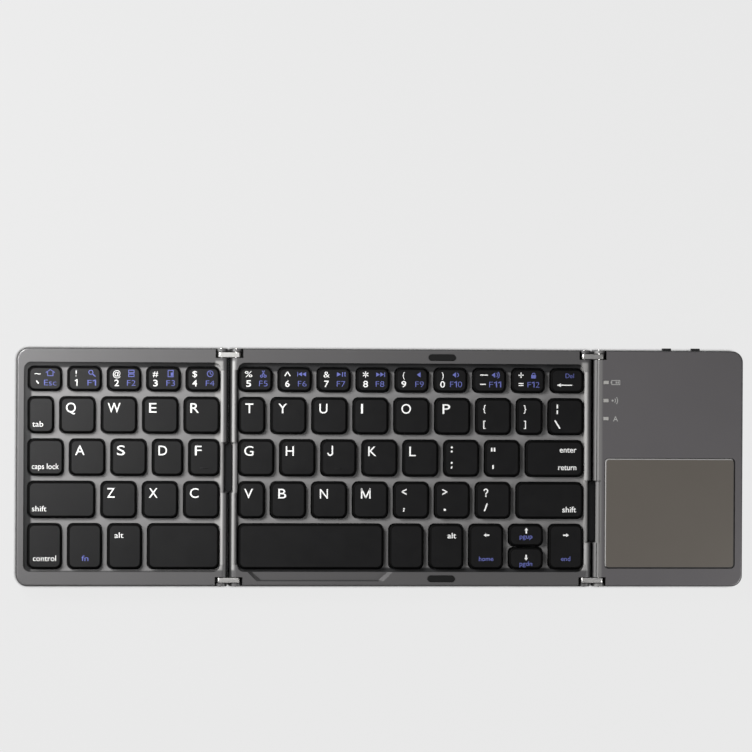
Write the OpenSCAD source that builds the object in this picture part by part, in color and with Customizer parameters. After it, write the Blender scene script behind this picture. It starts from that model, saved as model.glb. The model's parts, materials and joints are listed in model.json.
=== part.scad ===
// Folding keyboard: three panels on double-pin hinges, sixty-four keys and a touchpad.
// X runs along the open keyboard, Y to its back edge and Z up. It lies open on its feet.

/* [Panels] */
// Gap between the ends of the two wings when both lie folded on the middle panel
wing_end_gap = 0.8; // [0.5:0.1:1.5]
// Thickness of a closed panel without its feet
case_h = 7.4; // [7.2:0.1:8.4]
// Radius of the four outer corners, seen from above
corner_r = 4.6; // [3.5:0.1:6]
// Edge radius round the top of the cases
top_round = 0.9; // [0.5:0.1:1.2]
// Edge radius round the bottom covers
cover_round = 0.6; // [0.3:0.1:0.8]
// Thickness of the bottom covers
cover_t = 1.2; // [1:0.1:1.4]
// Thickness of the outer walls of the cases
wall_t = 1.6; // [1.4:0.1:2]

/* [Hinges] */
// Depth of the pin axes below the top face, and radius of the rounded hinge edges
hinge_r = 2.7; // [2.5:0.05:2.85]
// Gap between two faces folded shut, and between two hinge edges lying open
fold_gap = 0.9; // [0.7:0.05:1.1]
// Radius of the inner shoulder of a hinge edge, beside the keys
shoulder_r = 1.3; // [1.1:0.05:1.4]
// Distance of the foot of the inner shoulder from the pin axis
shoulder_x = 0.35; // [0.2:0.05:0.45]
// Radius of the hinge pins
pin_r = 0.75; // [0.6:0.05:0.85]
// Running clearance of a pin in the bores of a link, on the radius
pin_fit = 0.05; // [0.03:0.01:0.08]
// Length of a pin left standing out of the edge of its panel
pin_proud = 0.25; // [0.1:0.05:0.4]
// Length of a pin inside the solid block behind the slot
pin_grip = 2.2; // [1.8:0.1:2.4]
// Thickness of the ear outside each slot
ear_t = 1.2; // [1:0.1:1.4]
// Radius of the round top of an ear
ear_r = 2.4; // [2:0.05:2.5]
// Thickness of a hinge link
link_t = 2; // [1.8:0.1:2.2]
// Side clearance of a link in its slots
link_side_gap = 0.3; // [0.2:0.05:0.4]
// Radius of the lower ends of a link, round its pins
link_end_r = 1.45; // [1.3:0.05:1.55]
// Height of the top of a link over the pin axes
link_crown = 2.3; // [2:0.05:2.4]
// Corner radius of the upper ends of a link
link_top_r = 0.8; // [0.7:0.05:1]
// Clearance between a turning link and the end and floor of its slot
link_turn_gap = 0.15; // [0.1:0.05:0.25]

/* [Cable covers] */
// Length of the left cable cover
left_cable_l = 20.6; // [16:0.2:26]
// Middle of the left cable cover, behind the middle of the panels
left_cable_y = 0; // [-5:0.5:5]
// Length of the right cable cover
right_cable_l = 25.6; // [20:0.2:28]
// Middle of the right cable cover, behind the middle of the panels
right_cable_y = -17.9; // [-20:0.1:-14]
// Radius of the necks in the hinge edges that the cable covers turn round
neck_r = 1.45; // [1.35:0.05:1.55]
// Clearance of a cable cover all round
cable_gap = 0.15; // [0.1:0.05:0.2]
// Thickness of a cable cover
cable_t = 1.4; // [1.2:0.1:1.5]
// Corner cut of a cable cover, seen from above
cable_cut = 1.2; // [0.8:0.1:1.4]

/* [Key field] */
// Width of a letter key
cap_w = 14.4; // [13:0.1:16.4]
// Depth of a letter key
cap_d = 14.75; // [13.25:0.05:16.75]
// Depth of a key in the number row
number_key_d = 9.85; // [8.25:0.05:12.25]
// Depth of a key in the front row
low_key_d = 18.35; // [15.35:0.05:20.35]
// Width of the tab key
tab_w = 10.35; // [8:0.05:13]
// Width of the narrow keys beside the fold and left of the backslash key
narrow_key_w = 10.6; // [9:0.1:12.5]
// Width of the control, fn and alt keys of the left wing
left_low_key_w = 13.8; // [12:0.1:16]
// Width of the five keys right of the long space bar
right_low_key_w = 14; // [12:0.1:16]
// Gap between keys side by side
key_gap = 2.65; // [2.45:0.05:2.85]
// Gap between rows of keys
row_gap = 2.65; // [2.45:0.05:2.85]
// Gap between the up and down half keys
half_key_gap = 0.7; // [0.6:0.05:0.8]
// Corner radius of the keys
cap_r = 2.2; // [1.8:0.1:2.7]
// Bevel round the top of a key
cap_bevel = 0.5; // [0.3:0.05:0.7]
// Thickness of a key, top to skirt
cap_h = 2.4; // [2.3:0.05:2.6]
// Wall of a hollow key cap
cap_wall = 1.1; // [0.9:0.1:1.3]
// Depth of the hollow under a key cap
cap_hollow = 1.3; // [1:0.1:1.4]
// Height of the top face of the case over the key tops
key_below_top = 0.3; // [0.2:0.05:0.5]
// Travel of a key
key_travel = 1.4; // [1.2:0.05:1.4]
// Clearance of a key in its window
key_fit = 0.4; // [0.3:0.05:0.45]
// Depth of the key well below the top face
well_depth = 2.4; // [2.2:0.05:2.4]
// Thickness of the grid between the keys
grid_t = 1; // [0.8:0.05:1.1]
// Corner radius of the key wells
well_r = 3; // [2.5:0.1:3.4]
// Rim between the end of the left wing and its key well
side_rim = 2.8; // [2.4:0.1:3.2]
// Rim behind the key wells
back_rim = 5.7; // [5.5:0.1:6]
// Clear strip between keys and well at the left end and at the back
well_margin = 1.95; // [1.75:0.05:2.1]
// Clear strip between keys and well at the front
front_margin = 1.4; // [1.2:0.1:1.6]
// Rim in front of the key wells
front_rim = 5.9; // [5.7:0.1:6.2]
// Gap between a key and the hinge edge beside it
hinge_margin = 0.95; // [0.85:0.05:1.1]

/* [Key mats] */
// Thickness of the membrane under the keys
mat_t = 0.6; // [0.4:0.05:0.7]
// Height of a pressed rubber dome on the membrane
dome_h = 1.2; // [0.9:0.05:1.2]
// Radius of a rubber dome at its foot
dome_r = 3; // [2.5:0.1:3.5]
// Clearance round a key mat
mat_gap = 0.3; // [0.2:0.05:0.4]

/* [Thumb scoop and bumpers] */
// Distance of the scoop's left end from the left end of the long space bar
scoop_inset = 3.7; // [3:0.1:6]
// Reach of the scoop past the right end of the long space bar
scoop_over = 4; // [1:0.1:5]
// Reach of the scoop into the front rim
scoop_d = 3.8; // [3:0.1:4]
// Depth of the scoop below the top face
scoop_h = 1.9; // [1.5:0.05:2.1]
// Slope of the scoop's front wall, from its top to its foot
scoop_slope = 0.5; // [0.2:0.1:1.5]
// Length of a fold bumper
bumper_l = 11.4; // [9:0.1:13]
// Width of a fold bumper
bumper_w = 2.8; // [2.4:0.1:3]
// Height of a fold bumper over the top face
bumper_proud = 0.35; // [0.2:0.05:0.38]
// Depth of the pocket that holds a fold bumper
bumper_seat = 0.8; // [0.6:0.1:1]
// Distance of a bumper's middle from the panel edge
bumper_inset = 3.2; // [3:0.1:3.4]
// Clearance of a bumper in its pocket
bumper_gap = 0.1; // [0.05:0.05:0.2]

/* [Feet] */
// Height of the rubber feet
foot_h = 0.6; // [0.5:0.05:1]
// Length of a foot
foot_l = 14; // [10:0.5:16]
// Width of a foot
foot_w = 4; // [3:0.1:5]
// Distance of a foot's middle from the front or back edge
foot_inset = 6; // [5:0.5:8]

/* [Right wing] */
// Thickness of the top plate
plate_t = 1.4; // [1.2:0.1:1.6]
// Width of the groove between the plate and the hinge edge
groove_w = 0.3; // [0.2:0.05:0.4]
// Distance of the plate's hinge side edge in front of the pin axis
plate_lap = 1.25; // [1.1:0.05:1.35]
// Bevel of the plate's hinge side edge
plate_bevel = 0.7; // [0.4:0.05:0.9]
// Depth of the touchpad
pad_d = 45.6; // [40:0.1:52]
// Distance of the touchpad from the end of the wing
pad_side = 3.4; // [2:0.1:5]
// Distance of the touchpad from the pin axis of the wing
pad_inset = 2.05; // [1.6:0.05:5]
// Distance of the touchpad from the front edge
pad_front = 7.6; // [7:0.1:9]
// Corner radius of the touchpad
pad_r = 1.5; // [1:0.1:2.5]
// Thickness of the touchpad's glass
pad_t = 1.1; // [0.9:0.05:1.3]
// Depth of the touchpad's seat in the top plate
pad_seat = 1; // [0.95:0.05:1.1]
// Gap round the touchpad
pad_gap = 0.2; // [0.15:0.05:0.3]
// Width of the ledge that carries the touchpad
pad_ledge = 2; // [1.5:0.1:2.5]
// Thickness of the sensor board under the touchpad's glass
sensor_t = 0.8; // [0.6:0.1:1]
// Width of an indicator window
window_w = 2.2; // [1.8:0.1:2.6]
// Depth of an indicator window
window_d = 1.4; // [1.2:0.1:1.6]
// Distance between indicator windows
window_pitch = 7.5; // [6.5:0.1:8]
// Distance of the indicator windows from the pin axis of the wing
window_x = 2.35; // [2.1:0.05:3]
// Distance of the last indicator window from the back edge
window_back = 13.2; // [12.5:0.1:14]
// Gap round an indicator window
window_gap = 0.1; // [0.05:0.01:0.15]

/* [Electronics] */
// Thickness of the main board
board_t = 0.8; // [0.6:0.1:1]
// Height of the posts under the main board
post_h = 0.6; // [0.5:0.05:0.8]
// Depth of the main board's back arm
board_arm_d = 11.4; // [10:0.1:12]
// Width of the main board's side arm
board_arm_w = 11.5; // [10:0.1:12]
// Length of the battery
battery_l = 38; // [34:0.5:40]
// Width of the battery
battery_w = 25; // [20:0.5:26]
// Thickness of the battery
battery_t = 3.2; // [2.8:0.1:3.4]
// Outer width of the charging socket
socket_w = 7.5; // [7.4:0.05:7.8]
// Outer height of the charging socket
socket_h = 2.5; // [2.45:0.05:2.6]
// Depth of the charging socket
socket_l = 5; // [4.6:0.1:5.4]
// Sheet thickness of the charging socket
socket_t = 0.3; // [0.25:0.05:0.35]
// Clearance round the charging socket in the wall
socket_gap = 0.1; // [0.05:0.05:0.2]
// Distance of the charging socket's middle from the back edge
socket_back = 9; // [8.5:0.1:9.5]

/* [Switch and button] */
// Width of the nubs of the switch and the button
nub_w = 3.8; // [3.4:0.1:4.2]
// Height of the nubs
nub_h = 1.5; // [1.3:0.1:1.7]
// Length of a nub outside the back edge
nub_proud = 1.1; // [0.8:0.05:1.4]
// Gap round a nub in its window
nub_gap = 0.15; // [0.1:0.05:0.2]
// Thickness of the flanges that hold the nubs in
flange_t = 1; // [0.8:0.1:1.1]
// Overlap of a flange behind the wall
flange_lap = 0.7; // [0.5:0.05:0.8]
// Travel of the power switch
switch_travel = 2; // [1.5:0.1:2.2]
// Travel of the pairing button
button_travel = 0.5; // [0.3:0.05:0.5]
// Distance of the power switch from the pin axis of the wing
switch_x = 28.2; // [26:0.1:30]
// Distance of the pairing button from the pin axis of the wing
button_x = 40.3; // [39:0.1:42]

/* [Hidden] */

$fn = 48;
tiny = 0.01;
reach = 1;

// Heights
cover_top = foot_h + cover_t;
top_z = foot_h + case_h;
axis_z = top_z - hinge_r;
well_z = top_z - well_depth;
grid_z = well_z - grid_t;
plate_z = top_z - plate_t;
cap_z = top_z - key_below_top - cap_h;
cap_low_z = cap_z - key_travel - key_fit;
board_z = cover_top + post_h;
board_top = board_z + board_t;

// Panels along X
axis_pitch = 2 * hinge_r + fold_gap;
left_key_l = tab_w + 4 * (cap_w + key_gap);
middle_key_l = 2 * narrow_key_w + 7 * cap_w + 8 * key_gap;
left_w = side_rim + well_margin + left_key_l + hinge_margin + axis_pitch / 2;
middle_w = middle_key_l + 2 * hinge_margin + axis_pitch;
right_w = middle_w - left_w - wing_end_gap;
overall_w = left_w + middle_w + right_w;
left_gap_x = -overall_w / 2 + left_w;
right_gap_x = overall_w / 2 - right_w;
left_axis_x = left_gap_x - axis_pitch / 2;
middle_left_x = left_gap_x + axis_pitch / 2;
middle_right_x = right_gap_x - axis_pitch / 2;
right_axis_x = right_gap_x + axis_pitch / 2;
left_len = left_w - axis_pitch / 2;
right_len = right_w - axis_pitch / 2;
middle_len = middle_w - axis_pitch;
key_field_d = number_key_d + 3 * cap_d + low_key_d + 4 * row_gap;
panel_d = back_rim + well_margin + key_field_d + front_margin + front_rim;
edge_y = panel_d / 2;
body_y = (pin_proud - nub_proud) / 2;

// Hinge slots
slot_turn = norm([link_end_r - link_top_r, link_crown - link_top_r]) + link_top_r + link_turn_gap;
slot_w = link_t + 2 * link_side_gap;
slot_y = edge_y - ear_t - slot_w;
slot_floor = axis_z - slot_turn;
pin_l = ear_t + slot_w + pin_grip + pin_proud;
cable_half = axis_pitch / 2 - neck_r - cable_gap;
flex_t = 0.4;

// Hinge shoulders
well_d = panel_d - front_rim - back_rim;
shoulder_sin = (shoulder_r - shoulder_x) / (hinge_r - shoulder_r);
shoulder_z = axis_z + sqrt(pow(hinge_r - shoulder_r, 2) - pow(shoulder_r - shoulder_x, 2));

// Key field
key_back = edge_y - back_rim - well_margin;
key_front = -edge_y + front_rim + front_margin;
left_key_x = -overall_w / 2 + side_rim + well_margin;
middle_key_x = middle_left_x + hinge_margin;
half_key_d = (low_key_d - half_key_gap) / 2;

// Hinge blocks inside the cases
slot_wall = 1.2;
slot_strip = 0.1;
block_l = slot_turn + slot_wall;
block_y = max(key_back, -key_front) + key_fit + slot_strip;
hinge_wall = 0.6;

// Key rows from the back, with the widths of their keys from left to right
function equal_w(l, n) = [for (i = [1:n]) (l - (n - 1) * key_gap) / n];
function letters_w(n) = [for (i = [1:n]) cap_w];
function sum(v, n) = n <= 0 ? 0 : v[n - 1] + sum(v, n - 1);
// What is left of a row of length l beside keys of widths v
function rest_w(l, v) = l - sum(v, len(v)) - len(v) * key_gap;
home_pair_l = left_key_l - 3 * (cap_w + key_gap);
left_low_w = [left_low_key_w, left_low_key_w, left_low_key_w];
right_low_w = [for (i = [1:5]) right_low_key_w];
space_w = rest_w(middle_key_l, right_low_w);
fourth_w = concat(narrow_key_w, letters_w(6));
left_rows = [
    equal_w(left_key_l, 5),
    concat(tab_w, letters_w(4)),
    concat(letters_w(3), equal_w(home_pair_l, 2)),
    concat(rest_w(left_key_l, letters_w(3)), letters_w(3)),
    concat(left_low_w, rest_w(left_key_l, left_low_w))
];
middle_rows = [
    equal_w(middle_key_l, 9),
    concat(narrow_key_w, letters_w(6), narrow_key_w, letters_w(1)),
    concat(letters_w(7), rest_w(middle_key_l, letters_w(7))),
    concat(fourth_w, rest_w(middle_key_l, fourth_w)),
    concat(space_w, right_low_w)
];
row_d = [number_key_d, cap_d, cap_d, cap_d, low_key_d];

// Keys as [panel, row from the back, place from the left, part of the key's place]
function keys_in_row(panel, row, first, last) = [for (i = [first:last]) [panel, row, i, "whole"]];
function on_left_row(row, first, last) = keys_in_row("left", row, first, last);
function on_middle_row(row, first, last) = keys_in_row("middle", row, first, last);
KEYS = [
    ["key_q", on_left_row(1, 1, 1)],
    ["key_w", on_left_row(1, 2, 2)],
    ["key_e", on_left_row(1, 3, 3)],
    ["key_r", on_left_row(1, 4, 4)],
    ["key_t", on_middle_row(1, 0, 0)],
    ["key_y", on_middle_row(1, 1, 1)],
    ["key_u", on_middle_row(1, 2, 2)],
    ["key_i", on_middle_row(1, 3, 3)],
    ["key_o", on_middle_row(1, 4, 4)],
    ["key_p", on_middle_row(1, 5, 5)],
    ["key_a", on_left_row(2, 1, 1)],
    ["key_s", on_left_row(2, 2, 2)],
    ["key_d", on_left_row(2, 3, 3)],
    ["key_f", on_left_row(2, 4, 4)],
    ["key_g", on_middle_row(2, 0, 0)],
    ["key_h", on_middle_row(2, 1, 1)],
    ["key_j", on_middle_row(2, 2, 2)],
    ["key_k", on_middle_row(2, 3, 3)],
    ["key_l", on_middle_row(2, 4, 4)],
    ["key_z", on_left_row(3, 1, 1)],
    ["key_x", on_left_row(3, 2, 2)],
    ["key_c", on_left_row(3, 3, 3)],
    ["key_v", on_middle_row(3, 0, 0)],
    ["key_b", on_middle_row(3, 1, 1)],
    ["key_n", on_middle_row(3, 2, 2)],
    ["key_m", on_middle_row(3, 3, 3)],
    ["space_bar_left", on_left_row(4, 3, 3)],
    ["space_bar_right", on_middle_row(4, 0, 0)],
    ["number_keys_left", on_left_row(0, 0, 4)],
    ["number_keys_middle", on_middle_row(0, 0, 8)],
    ["modifier_keys_left", concat(
        on_left_row(1, 0, 0), on_left_row(2, 0, 0), on_left_row(3, 0, 0), on_left_row(4, 0, 2))],
    ["punctuation_keys", concat(on_middle_row(1, 6, 8), on_middle_row(2, 5, 6), on_middle_row(3, 4, 6))],
    ["modifier_and_arrow_keys", concat(
        on_middle_row(2, 7, 7), on_middle_row(3, 7, 7), on_middle_row(4, 1, 3),
        [["middle", 4, 4, "back"], ["middle", 4, 4, "front"]], on_middle_row(4, 5, 5))]
];

// Left edge, front edge, width and depth of a key
function key_box(k) =
    let (
        widths = (k[0] == "left" ? left_rows : middle_rows)[k[1]],
        x = (k[0] == "left" ? left_key_x : middle_key_x) + sum(widths, k[2]) + k[2] * key_gap,
        back = key_back - sum(row_d, k[1]) - k[1] * row_gap,
        front = back - row_d[k[1]]
    )
    k[3] == "back" ? [x, back - half_key_d, widths[k[2]], half_key_d]
    : k[3] == "front" ? [x, front, widths[k[2]], half_key_d]
    : [x, front, widths[k[2]], row_d[k[1]]];

// Rectangle with round corners, its lower left corner at the origin
module round_rect(w, d, r) {
    translate([r, 0]) square([w - 2 * r, d]);
    translate([0, r]) square([w, d - 2 * r]);
    for (x = [r, w - r], y = [r, d - r]) translate([x, y]) circle(r);
}

// Bar with round ends, its middle at the origin
module pill(l, w, h) {
    linear_extrude(h) {
        square([l - w, w], center = true);
        for (s = [-1, 1]) translate([s * (l - w) / 2, 0]) circle(w / 2);
    }
}

// Extrudes an outline drawn in X and Z along Y, from y0 to y1
module along_y(y0, y1) {
    translate([0, y1, 0]) rotate([90, 0, 0]) linear_extrude(y1 - y0) children();
}

// Quarter of a disc, up and outwards from the origin
module quarter(r) {
    intersection() {
        circle(r);
        square(r);
    }
}

// Profile of an edge from a middle plane outwards, with round lower and upper corners
module edge_profile(half, z0, z1, low, high) {
    translate([0, z0 + low]) square([half, z1 - z0 - low - high]);
    if (low > 0) {
        translate([0, z0]) square([half - low, low]);
        translate([half - low, z0 + low]) mirror([0, 1]) quarter(low);
    }
    if (high > 0) {
        translate([0, z1 - high]) square([half - high, high]);
        translate([half - high, z1 - high]) quarter(high);
    }
}

// Slab that reaches from the pin axis to the end of a wing, with two round outer corners
module wing_slab(len, z0, z1, low, high) {
    for (s = [0, 1]) mirror([0, s, 0]) {
        rotate([90, 0, 90]) linear_extrude(len - corner_r) edge_profile(edge_y, z0, z1, low, high);
        translate([len - corner_r, edge_y - corner_r, 0]) rotate_extrude(angle = 90)
            edge_profile(corner_r, z0, z1, low, high);
        translate([len - corner_r, 0, 0]) along_y(0, edge_y - corner_r)
            edge_profile(corner_r, z0, z1, low, high);
    }
}

// Slab of the middle panel between its two pin axes
module middle_slab(z0, z1, low, high) {
    for (s = [0, 1]) mirror([0, s, 0]) rotate([90, 0, 90]) linear_extrude(middle_len)
        edge_profile(edge_y, z0, z1, low, high);
}

// Rounded hinge edge of a panel, between its pin axis at x = 0 and the hinge gap
module hinge_edge() {
    along_y(-edge_y, edge_y) {
        translate([-hinge_r, cover_top]) square([hinge_r, axis_z - cover_top]);
        translate([0, axis_z]) mirror([1, 0]) quarter(hinge_r);
    }
}

// Space cleared for the links at the front and back ends of a hinge edge
module hinge_slots() {
    for (s = [0, 1]) mirror([0, s, 0])
        translate([-hinge_r - reach, slot_y, slot_floor])
            cube([hinge_r + reach + slot_turn, edge_y - slot_y + reach, top_z - slot_floor + reach]);
}

// Ears outside the slots, round on the pin axis
module hinge_ears() {
    for (s = [0, 1]) mirror([0, s, 0]) along_y(edge_y - ear_t, edge_y) {
        translate([0, axis_z]) circle(ear_r);
        translate([-ear_r, cover_top]) square([2 * ear_r, axis_z - cover_top]);
    }
}

// Bores for the pins at both ends of a pin axis
module pin_bores() {
    for (s = [0, 1]) mirror([0, s, 0])
        translate([0, edge_y + reach, axis_z]) rotate([90, 0, 0])
            cylinder(r = pin_r, h = edge_y + reach - slot_y + pin_grip);
}

// Space cleared round the neck that a cable cover turns about, and the slit for its cable
module cable_notch(l, y) {
    top = top_z + reach;
    low = axis_z - neck_r - cable_gap;
    translate([0, y, 0]) {
        along_y(-l / 2 - cable_gap, l / 2 + cable_gap) difference() {
            translate([-hinge_r - reach, low])
                square([hinge_r + reach + 2 * cable_gap, top - low]);
            translate([0, axis_z]) circle(neck_r);
            translate([-neck_r, low - reach]) square([2 * neck_r, axis_z - low + reach]);
        }
        translate([-hinge_r, cable_cut - l / 2, axis_z - neck_r / 2 - flex_t])
            cube([2 * hinge_r, l - 2 * cable_cut, flex_t]);
    }
}

// Plan of the space inside a wing, taken in by a gap
module wing_cavity_plan(len, gap) {
    x0 = hinge_wall + gap;
    x1 = len - wall_t - gap;
    x2 = block_l + gap;
    y1 = block_y - gap;
    y2 = edge_y - wall_t - gap;
    cut = corner_r / 2;
    polygon([
        [x0, -y1], [x2, -y1], [x2, -y2], [x1 - cut, -y2], [x1, cut - y2],
        [x1, y2 - cut], [x1 - cut, y2], [x2, y2], [x2, y1], [x0, y1]
    ]);
}

// Plan of the space inside the middle panel, taken in by a gap
module middle_cavity_plan(gap) {
    for (s = [0, 1]) translate([s * middle_len, 0]) mirror([s, 0]) {
        translate([hinge_wall + gap, -block_y + gap])
            square([middle_len / 2 - hinge_wall - gap, 2 * (block_y - gap)]);
        translate([block_l + gap, -edge_y + wall_t + gap])
            square([middle_len / 2 - block_l - gap, panel_d - 2 * (wall_t + gap)]);
    }
}

// Windows in the grid for the keys of one panel
module key_windows(panel) {
    for (entry = KEYS, k = entry[1]) if (k[0] == panel) {
        box = key_box(k);
        translate([box[0] - key_fit, box[1] - key_fit, cap_low_z])
            linear_extrude(well_z + tiny - cap_low_z)
                round_rect(box[2] + 2 * key_fit, box[3] + 2 * key_fit, cap_r + key_fit);
    }
}

// Keys, hollow underneath, with a bevel round the top
module key_caps(keys) {
    for (k = keys) {
        box = key_box(k);
        w = box[2];
        d = box[3];
        color("#252527") translate([box[0], box[1] + body_y, cap_z]) difference() {
            hull() {
                linear_extrude(cap_h - cap_bevel) round_rect(w, d, cap_r, $fn = 16);
                translate([cap_bevel, cap_bevel, 0]) linear_extrude(cap_h)
                    round_rect(w - 2 * cap_bevel, d - 2 * cap_bevel, cap_r - cap_bevel, $fn = 16);
            }
            translate([cap_wall, cap_wall, -reach])
                cube([w - 2 * cap_wall, d - 2 * cap_wall, cap_hollow + reach]);
        }
    }
}

// Rubber domes under the keys of one panel
module domes(panel) {
    for (entry = KEYS, k = entry[1]) if (k[0] == panel) {
        box = key_box(k);
        translate([box[0] + box[2] / 2, box[1] + box[3] / 2, cover_top + mat_t])
            cylinder(r1 = dome_r, r2 = dome_r / 2, h = dome_h);
    }
}

// Places a part drawn from a pin axis outwards on the left or the right of it
module on_left() { translate([left_axis_x, body_y, 0]) mirror([1, 0, 0]) children(); }
module on_middle() { translate([middle_left_x, body_y, 0]) children(); }
module on_right() { translate([right_axis_x, body_y, 0]) children(); }
module on_panels() { translate([0, body_y, 0]) children(); }

// Key well between two distances from the pin axis
module key_well(from, to) {
    translate([from, -edge_y + front_rim, well_z])
        linear_extrude(well_depth + reach) round_rect(to - from, well_d, well_r);
}

// Space cleared over the inner shoulder of a hinge edge, which runs tangent to its outer round
module shoulder_cut() {
    y = -edge_y + front_rim + well_r;
    along_y(y, y + well_d - 2 * well_r) difference() {
        translate([-hinge_r * shoulder_sin, shoulder_z])
            square([hinge_r * shoulder_sin + shoulder_x + tiny, top_z - shoulder_z + reach]);
        translate([shoulder_x - shoulder_r, shoulder_z]) circle(shoulder_r);
    }
}

module left_case() {
    color("#7a7a7c") difference() {
        on_left() difference() {
            union() {
                difference() {
                    union() {
                        wing_slab(left_len, cover_top, top_z, 0, top_round);
                        hinge_edge();
                    }
                    hinge_slots();
                }
                hinge_ears();
            }
            key_well(shoulder_x, left_len - side_rim);
            shoulder_cut();
            translate([0, 0, cover_top - reach]) linear_extrude(grid_z - cover_top + reach)
                wing_cavity_plan(left_len, 0);
            pin_bores();
            cable_notch(left_cable_l, left_cable_y);
        }
        on_panels() key_windows("left");
    }
}

module middle_ends() {
    for (s = [0, 1]) translate([s * middle_len, 0, 0]) mirror([s, 0, 0]) children();
}

module scoop() {
    x = hinge_margin + scoop_inset;
    scoop_w = space_w - scoop_inset + scoop_over;
    y = -edge_y + front_rim;
    floor_d = scoop_d - scoop_slope;
    hull() {
        translate([x, 0, top_z]) linear_extrude(tiny)
            polygon([[0, y], [scoop_d, y - scoop_d], [scoop_w - scoop_d, y - scoop_d], [scoop_w, y]]);
        translate([x, 0, top_z - scoop_h]) linear_extrude(tiny) polygon([
            [scoop_h, y], [scoop_d + scoop_h, y - floor_d],
            [scoop_w - scoop_d - scoop_h, y - floor_d], [scoop_w - scoop_h, y]
        ]);
    }
}

module bumper_pockets(l, w, h) {
    for (s = [-1, 1])
        translate([left_len + wing_end_gap, s * (edge_y - bumper_inset), top_z - bumper_seat])
            pill(l, w, h);
}

module middle_case() {
    color("#6d6d70") difference() {
        on_middle() difference() {
            union() {
                difference() {
                    union() {
                        middle_slab(cover_top, top_z, 0, top_round);
                        middle_ends() hinge_edge();
                    }
                    middle_ends() hinge_slots();
                }
                middle_ends() hinge_ears();
            }
            key_well(shoulder_x, middle_len - shoulder_x);
            middle_ends() shoulder_cut();
            translate([0, 0, cover_top - reach]) linear_extrude(grid_z - cover_top + reach)
                middle_cavity_plan(0);
            middle_ends() pin_bores();
            cable_notch(left_cable_l, left_cable_y);
            translate([middle_len, 0, 0]) mirror([1, 0, 0]) cable_notch(right_cable_l, right_cable_y);
            scoop();
            bumper_pockets(bumper_l, bumper_w, bumper_seat + reach);
        }
        on_panels() key_windows("middle");
    }
}

module left_key_mat() {
    color("#4a4a4e") {
        on_left() translate([0, 0, cover_top]) linear_extrude(mat_t) wing_cavity_plan(left_len, mat_gap);
        on_panels() domes("left");
    }
}

module middle_key_mat() {
    color("#4a4a4e") {
        on_middle() translate([0, 0, cover_top]) linear_extrude(mat_t) middle_cavity_plan(mat_gap);
        on_panels() domes("middle");
    }
}

// Plain hinge side strip of a bottom cover
module cover_strip() {
    translate([-hinge_r, -edge_y, foot_h]) cube([hinge_r, panel_d, cover_t]);
}

module left_bottom_cover() {
    color("#5f5f62") on_left() {
        wing_slab(left_len, foot_h, cover_top, cover_round, 0);
        cover_strip();
    }
}

module middle_bottom_cover() {
    color("#5f5f62") on_middle() {
        middle_slab(foot_h, cover_top, cover_round, 0);
        middle_ends() cover_strip();
    }
}

module pins() {
    for (s = [0, 1]) mirror([0, s, 0])
        translate([0, edge_y + pin_proud, axis_z]) rotate([90, 0, 0]) cylinder(r = pin_r, h = pin_l);
}

module left_pins() { color("#b9b9b6") on_left() pins(); }
module middle_pins() { color("#b9b9b6") on_middle() middle_ends() pins(); }
module right_pins() { color("#b9b9b6") on_right() pins(); }

// Rubber feet at given distances from the left pin axis of a panel
module feet(places) {
    for (x = places, s = [-1, 1]) translate([x, s * (edge_y - foot_inset), 0]) pill(foot_l, foot_w, foot_h);
}

module left_feet() { color("#202022") on_left() feet([foot_l, left_len - foot_l]); }
module middle_feet() { color("#202022") on_middle() feet([foot_l, middle_len - foot_l]); }
module right_feet() { color("#202022") on_right() feet([foot_l, right_len - foot_l]); }

module fold_bumpers() {
    color("#202022") on_middle()
        bumper_pockets(bumper_l - 2 * bumper_gap, bumper_w - 2 * bumper_gap, bumper_seat + bumper_proud);
}

pad_x = pad_inset;
pad_w = right_len - pad_side - pad_inset;
pad_y = -edge_y + pad_front;
nub_z = (cover_top + plate_z) / 2;
socket_x = right_len - socket_l - socket_t;
socket_y = edge_y - socket_back;
window_y = edge_y - window_back;

module window_places() {
    for (i = [0:2]) translate([window_x, window_y - i * window_pitch, 0]) children();
}

module right_top_plate() {
    color("#6a6a6d") on_right() difference() {
        union() {
            wing_slab(right_len, plate_z, top_z, 0, top_round);
            along_y(-edge_y, edge_y) polygon([
                [0, plate_z], [-plate_lap, plate_z], [-plate_lap, top_z - plate_bevel],
                [plate_bevel - plate_lap, top_z], [0, top_z]
            ]);
        }
        hinge_slots();
        cable_notch(right_cable_l, right_cable_y);
        translate([pad_x - pad_gap, pad_y - pad_gap, top_z - pad_seat]) linear_extrude(pad_seat + reach)
            round_rect(pad_w + 2 * pad_gap, pad_d + 2 * pad_gap, pad_r + pad_gap);
        translate([pad_x + pad_ledge, pad_y + pad_ledge, plate_z - reach]) linear_extrude(plate_t + reach)
            square([pad_w - 2 * pad_ledge, pad_d - 2 * pad_ledge]);
        window_places() translate([0, 0, top_z]) cube(
            [window_w + 2 * window_gap, window_d + 2 * window_gap, 2 * plate_t + reach], center = true);
    }
}

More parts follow.
